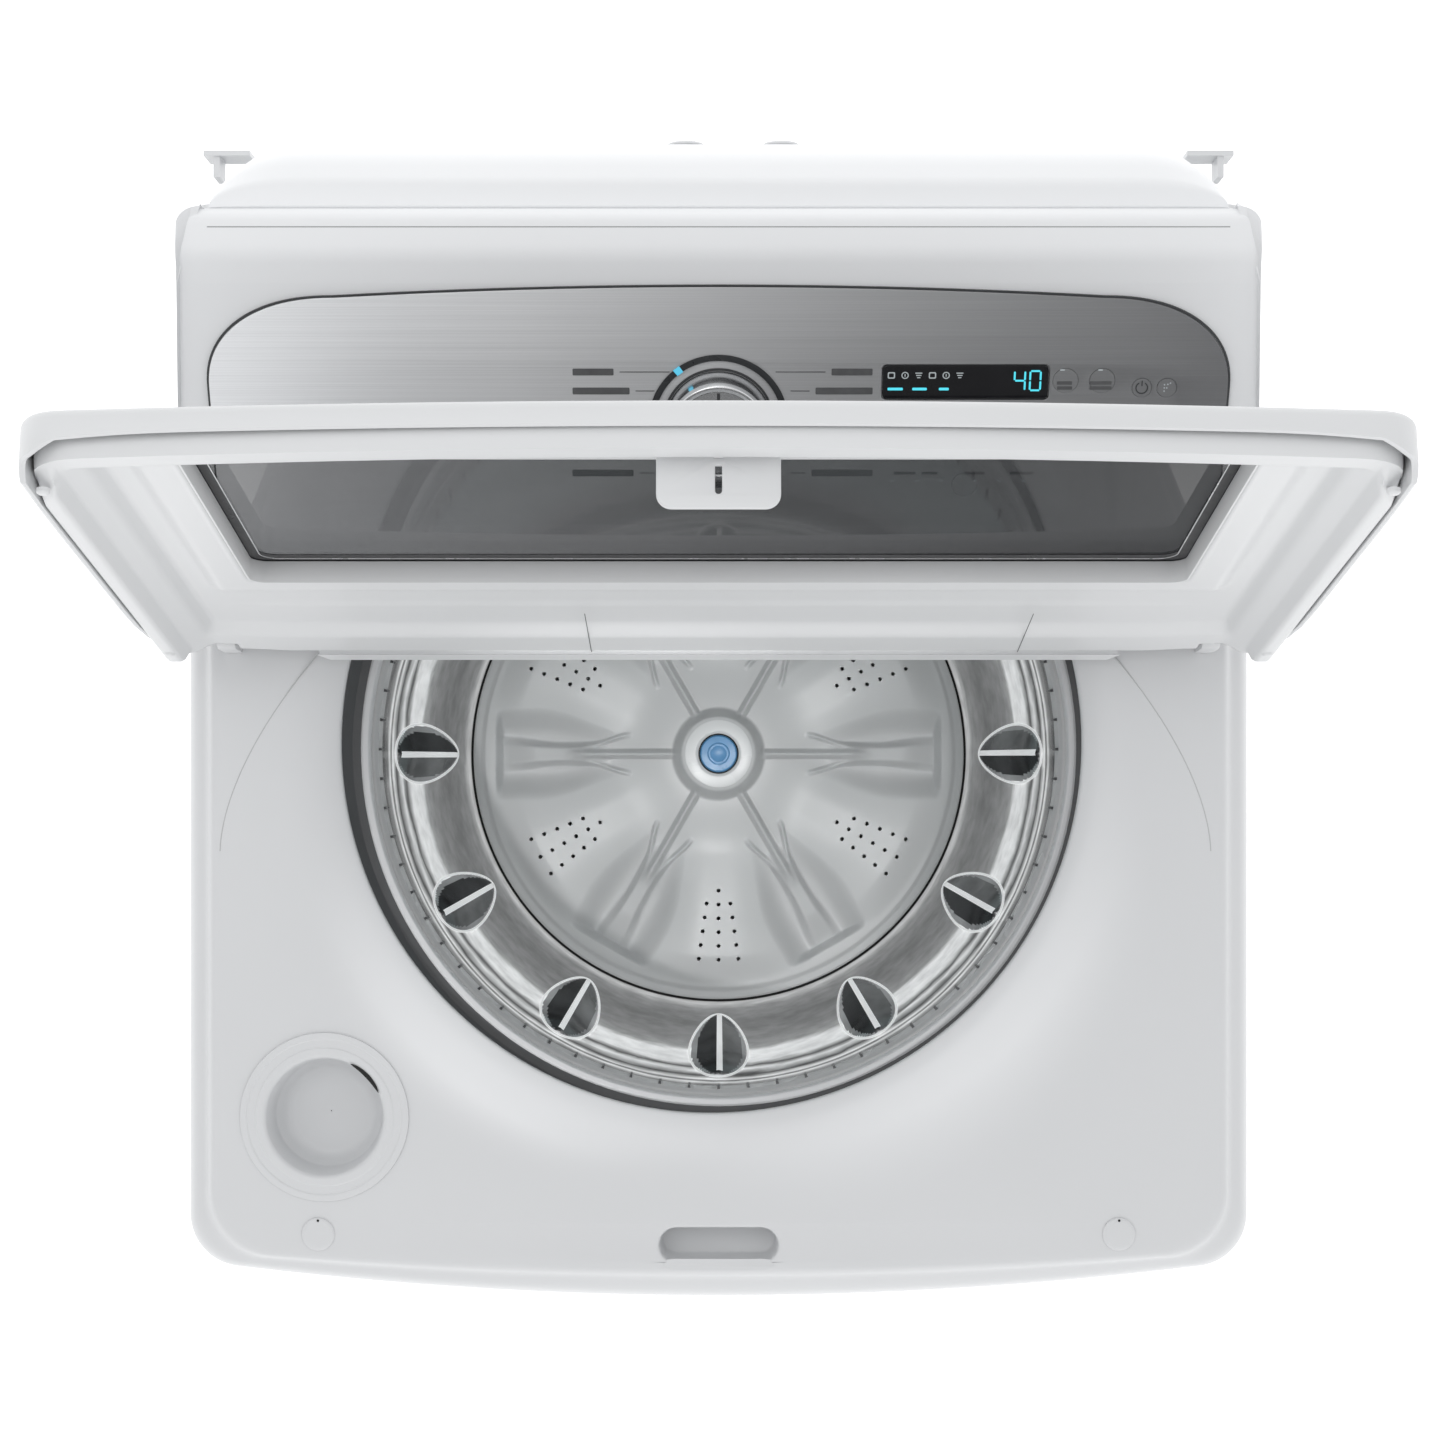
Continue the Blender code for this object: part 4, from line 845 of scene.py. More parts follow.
def build_basket():
    prof, s = basket_profile()
    tang = np.gradient(prof, s, axis=0)
    tang /= np.linalg.norm(tang, axis=1, keepdims=True)
    nrm = np.stack([tang[:, 1], -tang[:, 0]], 1)       # points to the axis and up
    nrm[nrm[:, 0] > 0] *= -1
    s_mid = np.interp(0.2370, prof[::-1, 0], s[::-1])  # middle of the dimples on the slope
    nphi = 960
    phi = np.arange(nphi) * TAU / nphi
    S, P = np.meshgrid(s, phi, indexing="ij")
    R = np.repeat(prof[:, 0][:, None], nphi, 1)
    Z = np.repeat(prof[:, 1][:, None], nphi, 1)
    H = np.zeros_like(R)
    k = np.round(P / (TAU / 12))
    dphi = P - k * TAU / 12
    v = dphi * 0.237
    u = (S - s_mid)                                     # positive towards the middle of the basket
    L = 0.0365
    t = np.clip(u / L, -1, 1)
    w = 0.0225 * np.sqrt(np.clip(1 - t ** 2, 0, 1)) * (1 - 0.20 * t) ** 1.0
    inside = (np.abs(u) < L) & (np.abs(v) < w)
    q = np.abs(v) / np.maximum(w, 1e-6)
    crease = 1 - q
    H = np.where(inside, 0.0080 * (1 - t ** 2) ** 0.5 * crease + 0.0008, H)
    R2 = R + H * nrm[:, 0][:, None]
    Z2 = Z + H * nrm[:, 1][:, None]
    verts = np.stack([TX + R2 * np.cos(P), TY + R2 * np.sin(P), Z2], -1).reshape(-1, 3)
    ns = len(s)
    idx = np.arange(ns * nphi).reshape(ns, nphi)
    a, b = idx[:-1], idx[1:]
    faces = np.stack([a, np.roll(a, -1, 1), np.roll(b, -1, 1), b], -1).reshape(-1, 4)
    zc = ((prof[:-1, 1] + prof[1:, 1]) / 2)
    col = np.arange(nphi)
    hole = np.zeros((ns - 1, nphi), bool)
    for j, zh in enumerate((0.596, 0.606, 0.616, 0.626, 0.636)):
        row = int(np.argmin(np.abs(zc - zh)))
        hole[row] |= ((col + (j % 2) * 3) % 6) < 2
    # zones choose the dimples' painted half shade (1), painted shade (2), painted light rim (3) and glowing painted
    # highlight (4)
    zone_id = np.zeros(inside.shape, np.int32)
    side = v + 0.0 * t
    zone_id[inside & (side > 0)] = 1
    zone_id[inside & (side <= 0)] = 2
    zone_id[inside & (q > 0.80)] = 3
    zone_id[inside & (np.abs(v) < 0.0021 + 0.0008 * (1 - t ** 2)) & (np.abs(t) < 0.93)] = 4
    zone_f = zone_id[:-1].reshape(-1)[~hole.reshape(-1)]
    faces = faces[~hole.reshape(-1)]
    me = bpy.data.meshes.new("wash_basket_steel")
    me.vertices.add(len(verts))
    me.vertices.foreach_set("co", verts.astype(np.float32).ravel())
    me.loops.add(faces.size)
    me.loops.foreach_set("vertex_index", faces.ravel())
    me.polygons.add(len(faces))
    me.polygons.foreach_set("loop_start", np.arange(0, faces.size, 4))
    me.update(calc_edges=True)
    me.validate()
    ob = bpy.data.objects.new("wash_basket_steel", me)
    bm = bmesh.new()
    bm.from_mesh(me)
    bmesh.ops.recalc_face_normals(bm, faces=bm.faces)
    bm.faces.ensure_lookup_table()
    f = bm.faces[0]
    c = f.calc_center_median()
    if f.normal.x * (c.x - TX) + f.normal.y * (c.y - TY) > 0:
        bmesh.ops.reverse_faces(bm, faces=bm.faces)
    bm.to_mesh(me)
    bm.free()
    finish_object(ob, ["steel", "dimple_mid", "dimple_dark", "dimple_soft", "dimple"], "basket", "basket", angle=26)
    ob.data.polygons.foreach_set("material_index", zone_f.astype(np.int32))
    solidify(ob, 0.0009)
    # narrow bright beads round each dimple: a painted highlight that glows
    for i in range(12):
        a0 = i * TAU / 12
        pts = []
        m = 56
        for j in range(m):
            th = TAU * j / m
            tt = math.cos(th)
            uu = L * 1.01 * tt
            ww = 0.0225 * math.sin(abs(th) if th <= PI else TAU - th) * (1 - 0.20 * tt) * 1.02 * (1 if th <= PI else -1)
            ss = s_mid + uu
            rr = np.interp(ss, s, prof[:, 0])
            zz = np.interp(ss, s, prof[:, 1])
            nn = np.array([np.interp(ss, s, nrm[:, 0]), np.interp(ss, s, nrm[:, 1])])
            rr += nn[0] * 0.0007
            zz += nn[1] * 0.0007
            ang = a0 + ww / 0.237
            pts.append((TX + rr * math.cos(ang), TY + rr * math.sin(ang), zz))
        tube("dimple_highlight_bead_%02d" % i, pts, 0.0011, "dimple", "basket", closed=True, sides=8)


def tube(name, pts, r, mat, body, closed=False, sides=8, node=()):
    pts = [Vector(p) for p in pts]
    n = len(pts)
    rings = []
    up = Vector((0, 0, 1))
    for i, p in enumerate(pts):
        a = pts[(i - 1) % n] if closed or i > 0 else pts[i]
        b = pts[(i + 1) % n] if closed or i < n - 1 else pts[i]
        t = (b - a).normalized()
        side = t.cross(up)
        if side.length < 1e-3:
            side = t.cross(Vector((1, 0, 0)))
        side.normalize()
        other = side.cross(t).normalized()
        rings.append([p + side * (r * math.cos(TAU * k / sides)) + other * (r * math.sin(TAU * k / sides))
                      for k in range(sides)])
    verts, faces = strips([[tuple(q) for q in ring] for ring in rings], closed_profile=closed)
    if not closed:
        faces.append(tuple(range(sides))[::-1])
        faces.append(tuple((n - 1) * sides + k for k in range(sides)))
    ob = new_object(name, verts, faces, mat, body, node)
    closed_normals(ob)
    return ob


build_basket()
for side, path in CREASES:
    tube("deck_crease_" + side, path, 0.00042, "crease", "cabinet")


# ------------------------------------------------------------------ pulsator
def smoothstep(x, a, b):
    t = np.clip((x - a) / (b - a), 0, 1)
    return t * t * (3 - 2 * t)


def bump_fn(x, w):
    t = np.clip(np.abs(x) / w, 0, 1)
    return (1 - t * t) ** 2


def build_pulsator():
    u = 1 / 1230.0
    rs = np.concatenate([np.linspace(0.0160, 0.0290, 6), np.linspace(0.0300, 0.0380, 12), np.linspace(0.0390, 0.1990, 210),
                         np.linspace(0.1995, PULS_R, 8)])
    nphi = 1080
    phi = np.arange(nphi) * TAU / nphi
    R, P = np.meshgrid(rs, phi, indexing="ij")
    # shallow dish with a hub in the middle and a flat rim
    z = 0.4895 + 0.0055 * (1 - smoothstep(R, 0.05, 0.185)) + 0.0 * R
    z += 0.0075 * (1 - smoothstep(R, 0.034, 0.085))
    z = np.where(R > 0.192, z - 0.0015 * smoothstep(R, 0.192, 0.196), z)
    k = np.round(P / (TAU / 6))
    d = P - k * TAU / 6
    x = R * np.cos(d)                      # along the vane
    y = R * np.sin(d)                      # across it
    # lobes between the vanes, where the drain holes are
    lobe_d = np.abs(P - (np.floor(P / (TAU / 6)) + 0.5) * TAU / 6)
    z += 0.0075 * (1 - smoothstep(lobe_d, 0.08, 0.44)) * smoothstep(R, 0.05, 0.13) * (1 - smoothstep(R, 0.165, 0.190))
    # scooped troughs both sides of the vane, ending square near the rim
    half = 0.0080 + (0.0325 - 0.0080) * smoothstep(x, 0.045, 0.150)
    edge = 1 - smoothstep(np.abs(y), half * 0.45, half * 1.18)
    along = smoothstep(x, 0.045, 0.130) * (1 - smoothstep(x, 0.1780, 0.1840))
    z -= 0.0200 * edge * along * smoothstep(x, 0.04, 0.18)
    # narrow ridge from the hub
    narrow = bump_fn(y, 0.0048) * smoothstep(x, 0.030, 0.042) * (1 - smoothstep(x, 0.105, 0.128))
    z += 0.0095 * narrow
    # wide ridge outside it, falling to the rim
    wide_w = 0.0078 + 0.0040 * smoothstep(x, 0.13, 0.18)
    wide = (1 - smoothstep(np.abs(y), wide_w * 0.55, wide_w * 1.35)) * smoothstep(x, 0.088, 0.112) * \
        (1 - smoothstep(x, 0.150, 0.1835) * 0.75) * (1 - smoothstep(x, 0.1800, 0.1835))
    z += 0.0165 * wide
    # two prongs that run back from the wide ridge
    py = 0.0078 + 0.0080 * (1 - smoothstep(x, 0.070, 0.106))
    prong = bump_fn(np.abs(y) - py, 0.0030) * smoothstep(x, 0.070, 0.082) * (1 - smoothstep(x, 0.100, 0.120))
    z += 0.0050 * prong
    # hub
    hub = 1 - smoothstep(R, 0.0288, 0.0385)
    z = z * (1 - hub) + 0.5345 * hub
    z = np.where(R < 0.0292, 0.5345 - 0.0006 * smoothstep(R, 0.0270, 0.0292) - 0.0006 * (1 - smoothstep(R, 0.016, 0.0172)), z)
    z = np.where(R > 0.2005, z - 0.0012 * ((R - 0.2005) / (PULS_R - 0.2005)) ** 2, z)
    verts = np.stack([TX + R * np.cos(P), TY + R * np.sin(P), z], -1).reshape(-1, 3)
    nr = len(rs)
    idx = np.arange(nr * nphi).reshape(nr, nphi)
    a, b = idx[:-1], idx[1:]
    faces = [np.stack([a, b, np.roll(b, -1, 1), np.roll(a, -1, 1)], -1).reshape(-1, 4)]
    # underside
    base = len(verts)
    low = [(PULS_R, 0.4765), (0.1990, 0.4720), (0.1960, 0.4680), (0.0400, 0.4680), (0.0160, 0.4680)]
    extra = []
    for r, zz in low:
        extra.append(np.stack([TX + r * np.cos(phi), TY + r * np.sin(phi), np.full(nphi, zz)], -1))
    rows = [idx[-1]] + [base + i * nphi + np.arange(nphi) for i in range(len(low))] + [idx[0]]
    verts = np.concatenate([verts] + extra)
    for c, e in zip(rows, rows[1:]):
        faces.append(np.stack([c, e, np.roll(e, -1), np.roll(c, -1)], -1))
    faces = np.concatenate(faces)
    me = bpy.data.meshes.new("pulsator_moulding")
    me.vertices.add(len(verts))
    me.vertices.foreach_set("co", verts.astype(np.float32).ravel())
    me.loops.add(faces.size)
    me.loops.foreach_set("vertex_index", faces.astype(np.int32).ravel())
    me.polygons.add(len(faces))
    me.polygons.foreach_set("loop_start", np.arange(0, faces.size, 4))
    me.update(calc_edges=True)
    ob = bpy.data.objects.new("pulsator_moulding", me)
    bpy.context.scene.collection.objects.link(ob)
    closed_normals(ob)
    # drain holes: six groups of three rows that spread outwards
    bm = bmesh.new()
    holes = []
    for g in range(6):
        a = TAU * (g + 0.5) / 6
        spots = [(r * u, 0.0) for r in (138, 152, 166, 180, 194, 208)]
        for i in range(5):
            r = (151 + 14 * i) * u
            off = (12 + 2 * i) * u
            spots += [(r, off), (r, -off)]
        for r, off in spots:
            holes.append((TX + r * math.cos(a) - off * math.sin(a), TY + r * math.sin(a) + off * math.cos(a)))
    for hx, hy in holes:
        bmesh.ops.create_cone(bm, cap_ends=True, segments=14, radius1=0.00165, radius2=0.00165, depth=0.04,
                              matrix=Matrix.Translation((hx, hy, 0.490)))
    cm = bpy.data.meshes.new("hole_tool")
    bm.to_mesh(cm)
    bm.free()
    tool = bpy.data.objects.new("hole_tool", cm)
    bpy.context.scene.collection.objects.link(tool)
    bo = ob.modifiers.new("holes", "BOOLEAN")
    bo.operation = "DIFFERENCE"
    bo.solver = "MANIFOLD"
    bo.object = tool
    dg = bpy.context.evaluated_depsgraph_get()
    dg.update()
    me2 = bpy.data.meshes.new_from_object(ob.evaluated_get(dg))
    ob.modifiers.clear()
    if len(me2.polygons) > 1000:
        ob.data = me2
    bpy.data.objects.remove(tool, do_unlink=True)
    finish_object(ob, "pulsator", "drive", "pulsator", angle=50)


build_pulsator()
p_lo, p_hi = lohi("pulsator_cap")
CZ = float(p_hi[2])
lathe_object("hub_ring", [(0.0268, 0.5340, 0), (0.0276, 0.5352, 0.0006), (0.0184, 0.5356, 0.001), (0.0164, 0.5345, 0.0004),
                          (0.0164, 0.5338, 0)], "balance", "drive", steps=96, centre=(TX, TY))
lathe_object("blue_hub_cap", [(0, CZ - 0.0008, 0), (0.0056, CZ - 0.0008, 0), (0.0066, CZ - 0.0001, 0.0006),
                              (0.0080, CZ - 0.0001, 0.0006), (0.0090, CZ - 0.0009, 0.0006),
                              (0.0142, CZ - 0.0010, 0.0012), (0.0152, CZ - 0.0030, 0.0008), (0.0152, CZ - 0.0072, 0),
                              (0, CZ - 0.0072, 0)], "blue", "drive", "pulsator_cap", steps=72, closed=False,
             centre=(TX, TY))
lathe_object("hub_cap_groove", [(0.0162, CZ - 0.0019, 0), (0.0162, CZ - 0.0030, 0), (0.0153, CZ - 0.0030, 0),
                                (0.0153, CZ - 0.0019, 0)], "slit", "drive", steps=72, centre=(TX, TY))
# dark ring standing for the shadow in the seam between pulsator and basket
lathe_object("seam_shadow_ring", [(0.2049, 0.4790, 0), (0.2049, 0.4740, 0), (0.1985, 0.4740, 0), (0.1985, 0.4775, 0),
                           (0.2030, 0.4776, 0)], "slit", "basket", steps=128, centre=(TX, TY))

# ------------------------------------------------------------------ console
exec_order = None


def on_slope(y, drop=0.0028):
    return FZ + (y - FY) * math.tan(SLOPE) - drop / math.cos(SLOPE)


def console_half(z):
    k = min(max((z - Z_DECK) / 0.133, 0), 1)
    return 0.3420 - 0.0230 * k


def side_profile(points, n=6):
    return rounded_profile(points, n)


def loft_x(name, prof, half_z, mat, body, node=(), corner=0.010, seg=6, angle=40, rear_y=0.3018, rear_r=0.014):
    """A YZ outline closed by two rounded ends; half(z, y) gives the half length there."""
    def half(z, y):
        d = max(0.0, y - (rear_y - rear_r))
        return half_z(z) - (rear_r - math.sqrt(max(rear_r ** 2 - d ** 2, 0.0)))

    def ring(sx, back, inset):
        loop = offset_loop(prof, -inset) if inset > 1e-7 else prof
        return [(sx * (half(z, y) - back), y, z) for y, z in loop]
    left, right = [], []
    for k in range(seg + 1):
        f = PI / 2 * k / seg
        inset = corner * (1 - math.sin(f))
        back = corner * (1 - math.cos(f)) if False else corner * (1 - math.cos(f))
        # k = 0: end face rim, fully inset, at the very end; k = seg: full outline, back by the corner
        left.append(ring(-1, back, inset))
        right.append(ring(1, back, inset))
    mids = []
    for t in (-0.5, 0.0, 0.5):
        mids.append([(2 * t * (half(z, y) - corner), y, z) for y, z in prof])
    rings = left + mids + right[::-1]
    verts, faces = strips(rings)
    bm = merge([(verts, faces)])
    bm.verts.ensure_lookup_table()
    caps = []
    for ring_ in (left[0], right[0]):
        x_of = {}
        loop = [(p[1], p[2]) for p in ring_]
        v2, f2 = fill(loop, [], 0)
        caps.append(([(half(q[1], q[0]) * (1 if ring_[0][0] > 0 else -1), q[0], q[1]) for q in v2], f2))
    bm2 = merge([(verts, faces)] + caps)
    bm.free()
    return bm_object(name, bm2, mat, body, node, angle=angle)


body_prof = side_profile([(0.072, Z_DECK + 0.0006, 0.001), (0.3018, Z_DECK + 0.0006, 0.001), (0.3018, 1.1235, 0.004),
                          (0.2960, 1.1326, 0.009), (0.2730, 1.1323, 0.030), (0.2570, on_slope(0.2570), 0.002),
                          (0.0745, on_slope(0.0745), 0.002), (0.072, on_slope(0.0745) - 0.0022, 0.001)])[::-1]


def console_body():
    ob = loft_x("console_moulding", body_prof, lambda z: console_half(z), "white_console", "cabinet", "console_housing",
                corner=0.004, seg=4)
    return ob


console_body()

back_prof = side_profile([(0.3028, 1.0015, 0.001), (0.3350, 1.0015, 0.001), (0.3350, 0.9360, 0.001), (0.3628, 0.9360, 0.004),
                          (0.3628, 1.0100, 0.030), (0.3540, 1.0620, 0.050), (0.3380, 1.1020, 0.040), (0.3190, 1.1180, 0.012),
                          (0.3028, 1.1185, 0.002)])[::-1]


def back_half(z):
    k = min(max((z - 1.0) / 0.119, 0), 1)
    return 0.312 * (1 - 0.03 * k)


def rear_shell():
    """Rear cover: the same outline along X, with large rounded rear corners in plan."""
    prof = back_prof
    n_x = 60
    rings = []
    y_in = 0.3028
    rc = 0.052
    for i in range(n_x + 1):
        t = -1 + 2 * i / n_x
        t = math.sin(t * PI / 2) * 0.35 + t * 0.65 if False else t
        # denser steps near the ends
        q = math.copysign(1 - (1 - abs(t)) ** 2.2, t)
        ring = []
        for y, z in prof:
            h = back_half(z)
            x = q * h
            from_end = h - abs(x)
            depth = max(y - y_in, 0.0)
            k = min(from_end / rc, 1.0)
            y2 = y_in + depth * (0.10 + 0.90 * math.sqrt(max(1 - (1 - k) ** 2, 0.0)))
            ring.append((x, y2, z))
        rings.append(ring)
    verts, faces = strips(rings)
    caps = []
    for ring_ in (rings[0], rings[-1]):
        v2, f2 = fill([(p[1], p[2]) for p in ring_], [], 0)
        caps.append(([(ring_[i][0], ring_[i][1], ring_[i][2]) for i in range(len(ring_))], f2))
    bm = merge([(verts, faces)] + caps, tol=1e-6)
    return bm_object("console_back_moulding", bm, "white_console", "cabinet", "console_rear_cover", angle=45)


rear_shell()

# parting line along the top of the console
slab("console_parting_line", rounded_rect(-0.3010, 0.3010, 0.2886, 0.2892, 0.0002, 2), 1.1310, 1.13255, "groove", "cabinet",
     smooth=False)


# fascia plate in its own tilted frame, with a fine dark edge
def fascia_loop(inset=0.0):
    b, t = -0.1033 + inset, 0.1033 - inset
    w = 0.307 - inset
    pts = arc(w - 0.008, b + 0.008, 0.008, -90, 0, 6)
    right = [(w - 0.078 + 0.078 * math.cos(math.radians(a)) ** 0.9, t - 0.062 + 0.0555 * math.sin(math.radians(a)) ** 0.9)
             for a in np.linspace(0, 90, 28)]
    x_r, y_r = right[-1]
    top = [(x_r - 2 * x_r * k / 24, t - (t - y_r) * ((x_r - 2 * x_r * k / 24) / x_r) ** 2) for k in range(1, 24)]
    left = [(-x, y) for x, y in reversed(right)]
    pts += right + top + left
    pts += arc(-w + 0.008, b + 0.008, 0.008, 180, 270, 6)
    return pts


KEYS = {}
for key in ("power_button", "start_button", "option_button_1", "option_button_2", "option_button_3"):
    k_lo, k_hi = lohi(key)
    c = Vector([(a + b) / 2 for a, b in zip(k_lo, k_hi)])
    loc = TILT.inverted() @ c
    KEYS[key] = (loc.x, loc.y, float(k_hi[0] - k_lo[0]) / 2)
l_lo, l_hi = lohi("display_lens")
lc = TILT.inverted() @ Vector([(a + b) / 2 for a, b in zip(l_lo, l_hi)])
DISP = (lc.x, lc.y, float(l_hi[0] - l_lo[0]) / 2, 0.0106)

holes = [circle(x, y, r + 0.00009, 48)[::-1] for x, y, r in KEYS.values()]
holes.append(rounded_rect(DISP[0] - DISP[2] - 0.0006, DISP[0] + DISP[2] + 0.0006, DISP[1] - DISP[3] - 0.0004,
                          DISP[1] + DISP[3] + 0.0004, 0.0030)[::-1])
holes.append(circle(0, KNOB_V, 0.0052, 32)[::-1])
slab("fascia_plate", fascia_loop(0.0012), -0.0024, 0.0, "fascia", "cabinet", "console_fascia", TILT, edge=0.0005,
     holes=holes)
edge_outer = fascia_loop(0.0)
edge_inner = fascia_loop(0.0010)
slab("fascia_edge_line", edge_outer, -0.0022, -0.0006, "ink", "cabinet", matrix=TILT, holes=[edge_inner[::-1]])

# keys
for key, (x, y, r) in KEYS.items():
    slab(key + "_cap", circle(x, y, r, 48), -0.0010, 0.00002, "fascia", key, key, TILT, edge=0.00004, seg=1)

# display window, icons, digits
slab("display_window", rounded_rect(DISP[0] - DISP[2], DISP[0] + DISP[2], DISP[1] - DISP[3], DISP[1] + DISP[3], 0.0030),
     -0.0021, 0.0002, "lens", "cabinet", "display_lens", TILT, edge=0.0003)


def flat(name, loops, mat, body="cabinet", z=0.00025, t=0.00018, matrix=TILT, holes=None):
    """Printed or lit marks: thin raised shapes in one object."""
    bm = bmesh.new()
    for li, loop in enumerate(loops):
        hs = (holes or {}).get(li, [])
        parts = []
        all_l = [loop] + hs
        for lp in all_l:
            parts.append(strips([[(x, y, z + t) for x, y in lp], [(x, y, z) for x, y in lp]]))
        parts.append(fill(all_l[0], all_l[1:], z + t))
        parts.append(fill(all_l[0], all_l[1:], z))
        b2 = merge(parts)
        bmesh.ops.recalc_face_normals(b2, faces=b2.faces)
        tmp = bpy.data.meshes.new("tmp")
        b2.to_mesh(tmp)
        b2.free()
        bm.from_mesh(tmp)
        bpy.data.meshes.remove(tmp)
    return bm_object(name, bm, mat, body, matrix=matrix, smooth=False, recalc=False)


def bar(cx, cy, w, h, r=None):
    r = min(w, h) * 0.35 if r is None else r
    return rounded_rect(cx - w / 2, cx + w / 2, cy - h / 2, cy + h / 2, r, 3)


def segment_digit(cx, cy, h, digit, th=0.0011):
    w = h * 0.52
    on = {"0": "abcdef", "1": "bc", "2": "abged", "3": "abgcd", "4": "fgbc", "5": "afgcd", "6": "afgedc", "7": "abc",
          "8": "abcdefg", "9": "abcdfg"}[digit]
    g = th * 0.35
    segs = {"a": (cx, cy + h / 2, w - 2 * g, th), "d": (cx, cy - h / 2, w - 2 * g, th), "g": (cx, cy, w - 2 * g, th),
            "f": (cx - w / 2, cy + h / 4, th, h / 2 - 2 * g), "b": (cx + w / 2, cy + h / 4, th, h / 2 - 2 * g),
            "e": (cx - w / 2, cy - h / 4, th, h / 2 - 2 * g), "c": (cx + w / 2, cy - h / 4, th, h / 2 - 2 * g)}
    return [bar(*segs[s]) for s in on]


digits = segment_digit(DISP[0] + 0.0325, DISP[1] + 0.0012, 0.0120, "4") + \
    segment_digit(DISP[0] + 0.0418, DISP[1] + 0.0012, 0.0120, "0")
flat("display_digits", digits, "cyan", z=0.00035)
icons, icon_holes = [], {}
for i in range(6):
    cx = DISP[0] - 0.0445 + 0.0082 * i
    cy = DISP[1] + 0.0045
    if i % 3 == 0:
        icons.append(rounded_rect(cx - 0.0022, cx + 0.0022, cy - 0.0020, cy + 0.0020, 0.0009, 4))
        icon_holes[len(icons) - 1] = [rounded_rect(cx - 0.0015, cx + 0.0015, cy - 0.0013, cy + 0.0013, 0.0006, 4)[::-1]]
    elif i % 3 == 1:
        icons.append(circle(cx, cy, 0.0022, 20))
        icon_holes[len(icons) - 1] = [circle(cx, cy, 0.0016, 20)[::-1]]
        icons.append(bar(cx, cy, 0.0006, 0.0016))
    else:
        icons.append(bar(cx, cy + 0.0014, 0.0042, 0.0006))
        icons.append(bar(cx, cy, 0.0032, 0.0006))
        icons.append(bar(cx, cy - 0.0014, 0.0020, 0.0006))
flat("display_icons", icons, "pale_icon", z=0.00035, holes=icon_holes)
steps_bar = []
for i, w in enumerate((0.0092, 0.0088, 0.0060)):
    steps_bar.append(bar(DISP[0] - 0.0420 + 0.0146 * i, DISP[1] - 0.0040, w, 0.0016))
flat("display_step_marks", steps_bar, "cyan", z=0.00035)

# dial: ring, lit mark, knob
ring_o, ring_i = 0.0421, 0.0382
loop_o, loop_i = circle(0, KNOB_V, ring_o, 128), circle(0, KNOB_V, ring_i, 128)[::-1]
slab("dial_ring", loop_o, 0.0003, 0.0009, "ring_dark", "cabinet", "knob_ring", TILT, edge=0.0002, seg=2, holes=[loop_i])
a_mark = math.radians(127)
mk = []
for s, rr in ((-1, 0.0380), (1, 0.0380), (1, 0.0423), (-1, 0.0423)):
    a = a_mark + s * 0.055
    mk.append((rr * math.cos(a), KNOB_V + rr * math.sin(a)))
flat("dial_lit_mark", [mk], "dial_light", z=0.0009, t=0.0003)


def knob():
    top = 0.0215
    prof = [(0, top - 0.0010, 0), (0.0258, top - 0.0010, 0.003), (0.0276, top, 0.0010), (0.0290, top - 0.0004, 0.001),
            (0.0302, top - 0.0030, 0.003), (0.0314, 0.0090, 0.002), (0.0319, 0.0030, 0.001), (0.0320, 0.0008, 0.0004),
            (0, 0.0008, 0)]
    v, f = lathe_mesh(open_profile(prof, 6), 144, False)
    ob = new_object("selector_knob_body", v, f, "chrome", "selector", "selector_knob",
                    Matrix.Translation(KNOB_P) @ Matrix.Rotation(SLOPE, 4, "X"))
    closed_normals(ob)
    mark = [[(0.0009, 0.0190), (0.0009, 0.0246), (-0.0009, 0.0246), (-0.0009, 0.0190)][::-1]]
    flat("knob_pointer", mark, "ink", "selector", z=top - 0.00105, t=0.0002,
         matrix=Matrix.Translation(KNOB_P) @ Matrix.Rotation(SLOPE, 4, "X"))
    # dark ring under the knob's skirt: painted shade in the gap
    v, f = lathe_mesh([(0.0336, 0.0001), (0.0336, 0.0005), (0.0322, 0.0005), (0.0322, 0.0001)], 96, True)
    ob = new_object("knob_skirt_shadow_ring", v, f, "ink", "cabinet", (), Matrix.Translation(KNOB_P) @ Matrix.Rotation(SLOPE, 4, "X"))
    closed_normals(ob)


knob()

# plain marks where the dial's programme labels stand, with their leader lines
marks = []
s_px = 1666.0
for y_v, ys in ((0.0555, None), (0.0440, None), (-0.0040, None)):
    pass


def fascia_at(px, py):
    """Where a sight line through a picture point meets the fascia: used for the layout of marks only."""
    d = Vector(((px - 719.0) / 2721.0, (775.0 - py) / 2721.0, -1.0))
    o = Vector((0.0, -0.0335, 2.733))
    m = TILT.inverted()
    o2, d2 = m @ o, m.to_3x3() @ d
    t = -o2.z / d2.z
    p = o2 + d2 * t
    return p.x, p.y


